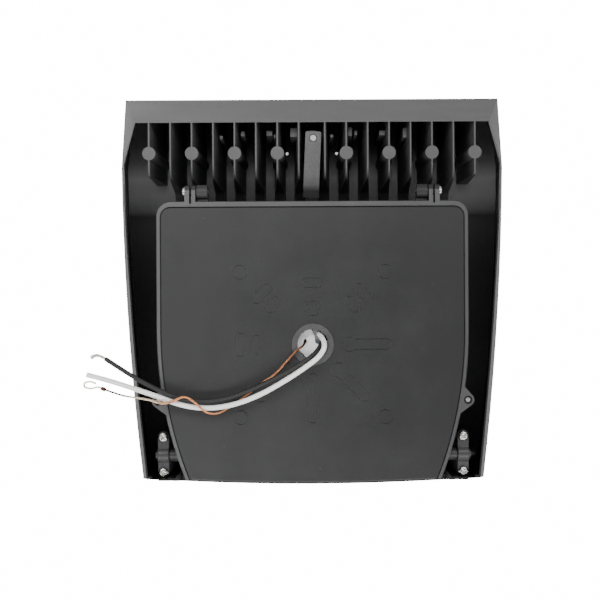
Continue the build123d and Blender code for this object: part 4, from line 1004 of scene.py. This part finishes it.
# Screws of the pivot caps, on the axes of the solid ones, whose seats are CAP_SCREW_END
# from their inner ends. Their heads are a little wider than the solid ones, as the
# photograph shows them. The turns of their recesses are in radians.
CAP_HEAD_R = 3.25
CAP_HEAD_T = 2.2
CAP_SHANK_R = 1.45
CAP_SHANK_LENGTH = 10.9
CAP_SCREW_END = 11.0
SOLID_CAP_HEAD_R = 2.8
UPPER_TURN = 0.35
LOWER_TURN = 0.9
cap_low, cap_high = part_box("pivot_cap_screws")
cap_seat_y = cap_high[1] - CAP_SCREW_END * MM
cap_screw = pan_screw_mesh(
    CAP_HEAD_R * MM, CAP_HEAD_T * MM, CAP_SHANK_R * MM, CAP_SHANK_LENGTH * MM, ZINC
)
for side, x in (("left", cap_low[0]), ("right", cap_high[0])):
    inward = 1 if x < 0 else -1
    for rank, z, turn in (
        ("upper", cap_high[2] - SOLID_CAP_HEAD_R * MM, UPPER_TURN),
        ("lower", cap_low[2] + SOLID_CAP_HEAD_R * MM, LOWER_TURN),
    ):
        spot = (x + inward * SOLID_CAP_HEAD_R * MM, cap_seat_y, z)
        name = f"{side}_{rank}_cap_screw"
        set_screw(name, cap_screw, spot, (0, -1, 0), turn, "pivot_cap_screws", "lamp_head")

# Screws of the hinges: their seats are the height of a solid head in from its outer end.
HINGE_HEAD_R = 3.05
HINGE_HEAD_T = 1.85
HINGE_SHANK_R = 1.9
HINGE_SHANK_LENGTH = 15.5
SOLID_HINGE_HEAD_T = 1.9
HINGE_TURN = 0.4
hinge_screw = pan_screw_mesh(
    HINGE_HEAD_R * MM, HINGE_HEAD_T * MM, HINGE_SHANK_R * MM, HINGE_SHANK_LENGTH * MM, HINGE_GAP_SHADE
)
hinge_low, hinge_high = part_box("hinge_screws")
hinge_axis = [(low + high) / 2 for low, high in zip(hinge_low, hinge_high)]
hinge_body = NODES["hinge_screws"]["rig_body"]
for side, seat_x, outward in (
    ("left", hinge_low[0] + SOLID_HINGE_HEAD_T * MM, -1),
    ("right", hinge_high[0] - SOLID_HINGE_HEAD_T * MM, 1),
):
    spot = (seat_x, hinge_axis[1], hinge_axis[2])
    name = f"{side}_hinge_screw"
    facing = (outward, 0, 0)
    set_screw(name, hinge_screw, spot, facing, HINGE_TURN, "hinge_screws", hinge_body)

# Earth tab behind the hub, pierced for the earth lead: its near face, its thickness, how
# far its edges are rounded, its outline (x, z), and its hole.
TAB_Y = 6.66
TAB_T = 0.8
TAB_ROUNDING = 0.1
TAB_OUTLINE = (
    (-1.1, 11.0), (-1.1, 9.1), (1.1, 5.3), (1.4, 0.9), (4.4, -0.6), (-3.8, -8.7),
    (-8.6, -3.7), (-11.2, -3.7), (-11.2, 3.6), (-8.0, 8.0), (-4.4, 10.4),
)
TAB_HOLE_X = -4.75
TAB_HOLE_Z = 1.6
TAB_HOLE_R = 1.25
TAB_HOLE_SIDES = 16


def tab_plate():
    """Flat tab with a hole, as a filled curve that is turned into the plane of the hub."""
    curve = bpy.data.curves.new("earth_tab", "CURVE")
    curve.dimensions = "2D"
    curve.fill_mode = "BOTH"
    curve.extrude = (TAB_T / 2 - TAB_ROUNDING) * MM
    curve.bevel_depth = TAB_ROUNDING * MM
    outline = curve.splines.new("POLY")
    outline.points.add(len(TAB_OUTLINE) - 1)
    for point, (x, z) in zip(outline.points, TAB_OUTLINE):
        point.co = (x * MM, z * MM, 0, 1)
    outline.use_cyclic_u = True
    hole = curve.splines.new("POLY")
    hole.points.add(TAB_HOLE_SIDES - 1)
    for k, point in enumerate(hole.points):
        turn = -math.tau * k / TAB_HOLE_SIDES
        x = TAB_HOLE_X + TAB_HOLE_R * math.cos(turn)
        z = TAB_HOLE_Z + TAB_HOLE_R * math.sin(turn)
        point.co = (x * MM, z * MM, 0, 1)
    hole.use_cyclic_u = True
    curve.materials.append(TAB)
    flat = link(bpy.data.objects.new("earth_tab_curve", curve))
    bpy.context.view_layer.update()
    mesh = bpy.data.meshes.new_from_object(flat)
    bpy.data.objects.remove(flat)
    mesh.transform(
        Matrix.Translation((0, (TAB_Y + TAB_T / 2) * MM, 0)) @ Matrix.Rotation(math.pi / 2, 4, "X")
    )
    piece = link(bpy.data.objects.new("earth_tab", mesh))
    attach(piece, "wall_plate")


tab_plate()

# Cast posts between the fins, from their ends towards the wall to their feet on the floor
# of the head, where they are wider by POST_TAPER: place (x, z), width and height of each.
POST_FRONT_Y = 33.0
POST_FOOT_Y = 78.5
POST_TAPER = 1.5
POST_ROUNDING = 0.35
POSTS = (
    (-59.0, 133.8, 2.0, 2.6), (-45.0, 136.1, 2.6, 3.3), (-27.6, 136.4, 3.9, 3.3),
    (-24.1, 134.5, 1.3, 2.6), (-11.7, 136.9, 4.6, 5.9), (13.0, 134.5, 2.0, 2.0),
    (25.0, 137.3, 2.6, 5.9), (28.7, 136.4, 2.0, 2.6), (45.9, 136.4, 3.9, 3.3),
    (60.6, 136.4, 2.6, 6.5),
)


def cast_posts():
    """Square ejector and core posts on the floor of the head, drafted towards their ends."""
    work = bmesh.new()
    for x, z, wide, high in POSTS:
        rings = []
        for y, grow in ((POST_FRONT_Y, 0.0), (POST_FOOT_Y, POST_TAPER)):
            half_x, half_z = (wide + grow) / 2, (high + grow) / 2
            rings.append(
                [
                    work.verts.new(((x + i * half_x) * MM, y * MM, (z + k * half_z) * MM))
                    for i, k in CORNERS
                ]
            )
        front, foot = rings
        work.faces.new(front)
        work.faces.new(foot[::-1])
        for k in range(4):
            j = (k + 1) % 4
            work.faces.new((front[k], foot[k], foot[j], front[j]))
    piece = to_object("cast_posts", work, POST_COAT)
    rounded = piece.modifiers.new("edge", "BEVEL")
    rounded.width = POST_ROUNDING * MM
    rounded.segments = EDGE_SEGMENTS
    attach(piece, "lamp_head")


cast_posts()

# Studio: a white backdrop that also glows round the lamp, and dim surroundings on the
# camera's side. Strengths are by direction, from -1 (the camera's side) to 1 (behind).
WHITE_BACKDROP = 16.0
SURROUND = ((-1.0, 0.45), (-0.25, 0.45), (0.0, 1.0), (0.25, 1.5), (1.0, 1.5))
SURROUND_PEAK = max(strength for _, strength in SURROUND)
world = bpy.data.worlds.new("studio")
bpy.context.scene.world = world
world.use_nodes = True
sky = world.node_tree
sky.nodes.clear()
direction = node(sky, "ShaderNodeTexCoord").outputs["Generated"]
depth = node(sky, "ShaderNodeSeparateXYZ", {}, {"Vector": direction})
share = node(sky, "ShaderNodeMapRange", {"From Min": -1.0}, {"Value": depth.outputs["Y"]})
glow = ramp(
    sky,
    share.outputs["Result"],
    [((y + 1) / 2, (*[strength / SURROUND_PEAK] * 3, 1)) for y, strength in SURROUND],
)
seen = node(sky, "ShaderNodeBackground", {"Color": (1, 1, 1, 1), "Strength": WHITE_BACKDROP})
cast = node(sky, "ShaderNodeBackground", {"Strength": SURROUND_PEAK}, {"Color": glow})
path = node(sky, "ShaderNodeLightPath")
mix = node(
    sky,
    "ShaderNodeMixShader",
    {},
    {0: path.outputs["Is Camera Ray"], 1: cast.outputs[0], 2: seen.outputs[0]},
)
node(sky, "ShaderNodeOutputWorld", {}, {"Surface": mix.outputs[0]})


def softbox(name, at, aim, wide, high, power):
    """A rectangular area light aimed at a point, not seen itself."""
    lamp = bpy.data.lights.new(name, "AREA")
    lamp.shape = "RECTANGLE"
    lamp.size = wide
    lamp.size_y = high
    lamp.energy = power
    obj = link(bpy.data.objects.new(name, lamp))
    obj.location = at
    obj.rotation_euler = (Vector(aim) - Vector(at)).to_track_quat("-Z", "Y").to_euler()
    obj.visible_camera = False


# Two wide strips above and below the camera light the fins evenly from side to side, and a
# square one behind gives the outer edges their light. In metres and watts: place, point
# aimed at, width, height and power.
SOFTBOXES = (
    ("key", (0.0, -0.40, 0.26), (0, 0.05, 0.08), 1.1, 0.12, 3.2),
    ("low_fill", (0.0, -0.40, -0.30), (0, 0.0, 0.0), 1.1, 0.12, 3.0),
    ("back_left", (-0.55, 0.75, 0.70), (0, 0.05, 0.12), 0.45, 0.45, 3.0),
)
for box in SOFTBOXES:
    softbox(*box)

# Floor of matt white paper, well below the lamp: a pale, even ground.
PAPER = plain("pale_paper_floor", "#eeeeec", 0.8, 0.0, 20.0, 0.02)
FLOOR_Z = -0.42
FLOOR_SIZE = 1.0
floor_work = bmesh.new()
bmesh.ops.create_grid(floor_work, x_segments=2, y_segments=2, size=FLOOR_SIZE / 2)
bmesh.ops.translate(floor_work, verts=floor_work.verts, vec=(0, 0, FLOOR_Z))
floor = to_object("floor", floor_work, PAPER)

camera_data = bpy.data.cameras.new("camera")
camera_data.sensor_width = SENSOR_MM
camera_data.lens = FOCAL_PIXELS / IMAGE_PIXELS * SENSOR_MM
camera_data.shift_x = SHIFT_X
camera_data.clip_start = CLIP_START
camera = link(bpy.data.objects.new("camera", camera_data))
camera.matrix_world = (
    Matrix.Translation(CAMERA_AT)
    @ Matrix.Rotation(math.radians(90), 4, "X")
    @ Matrix.Rotation(-CAMERA_ROLL, 4, "Z")
)
bpy.context.scene.camera = camera
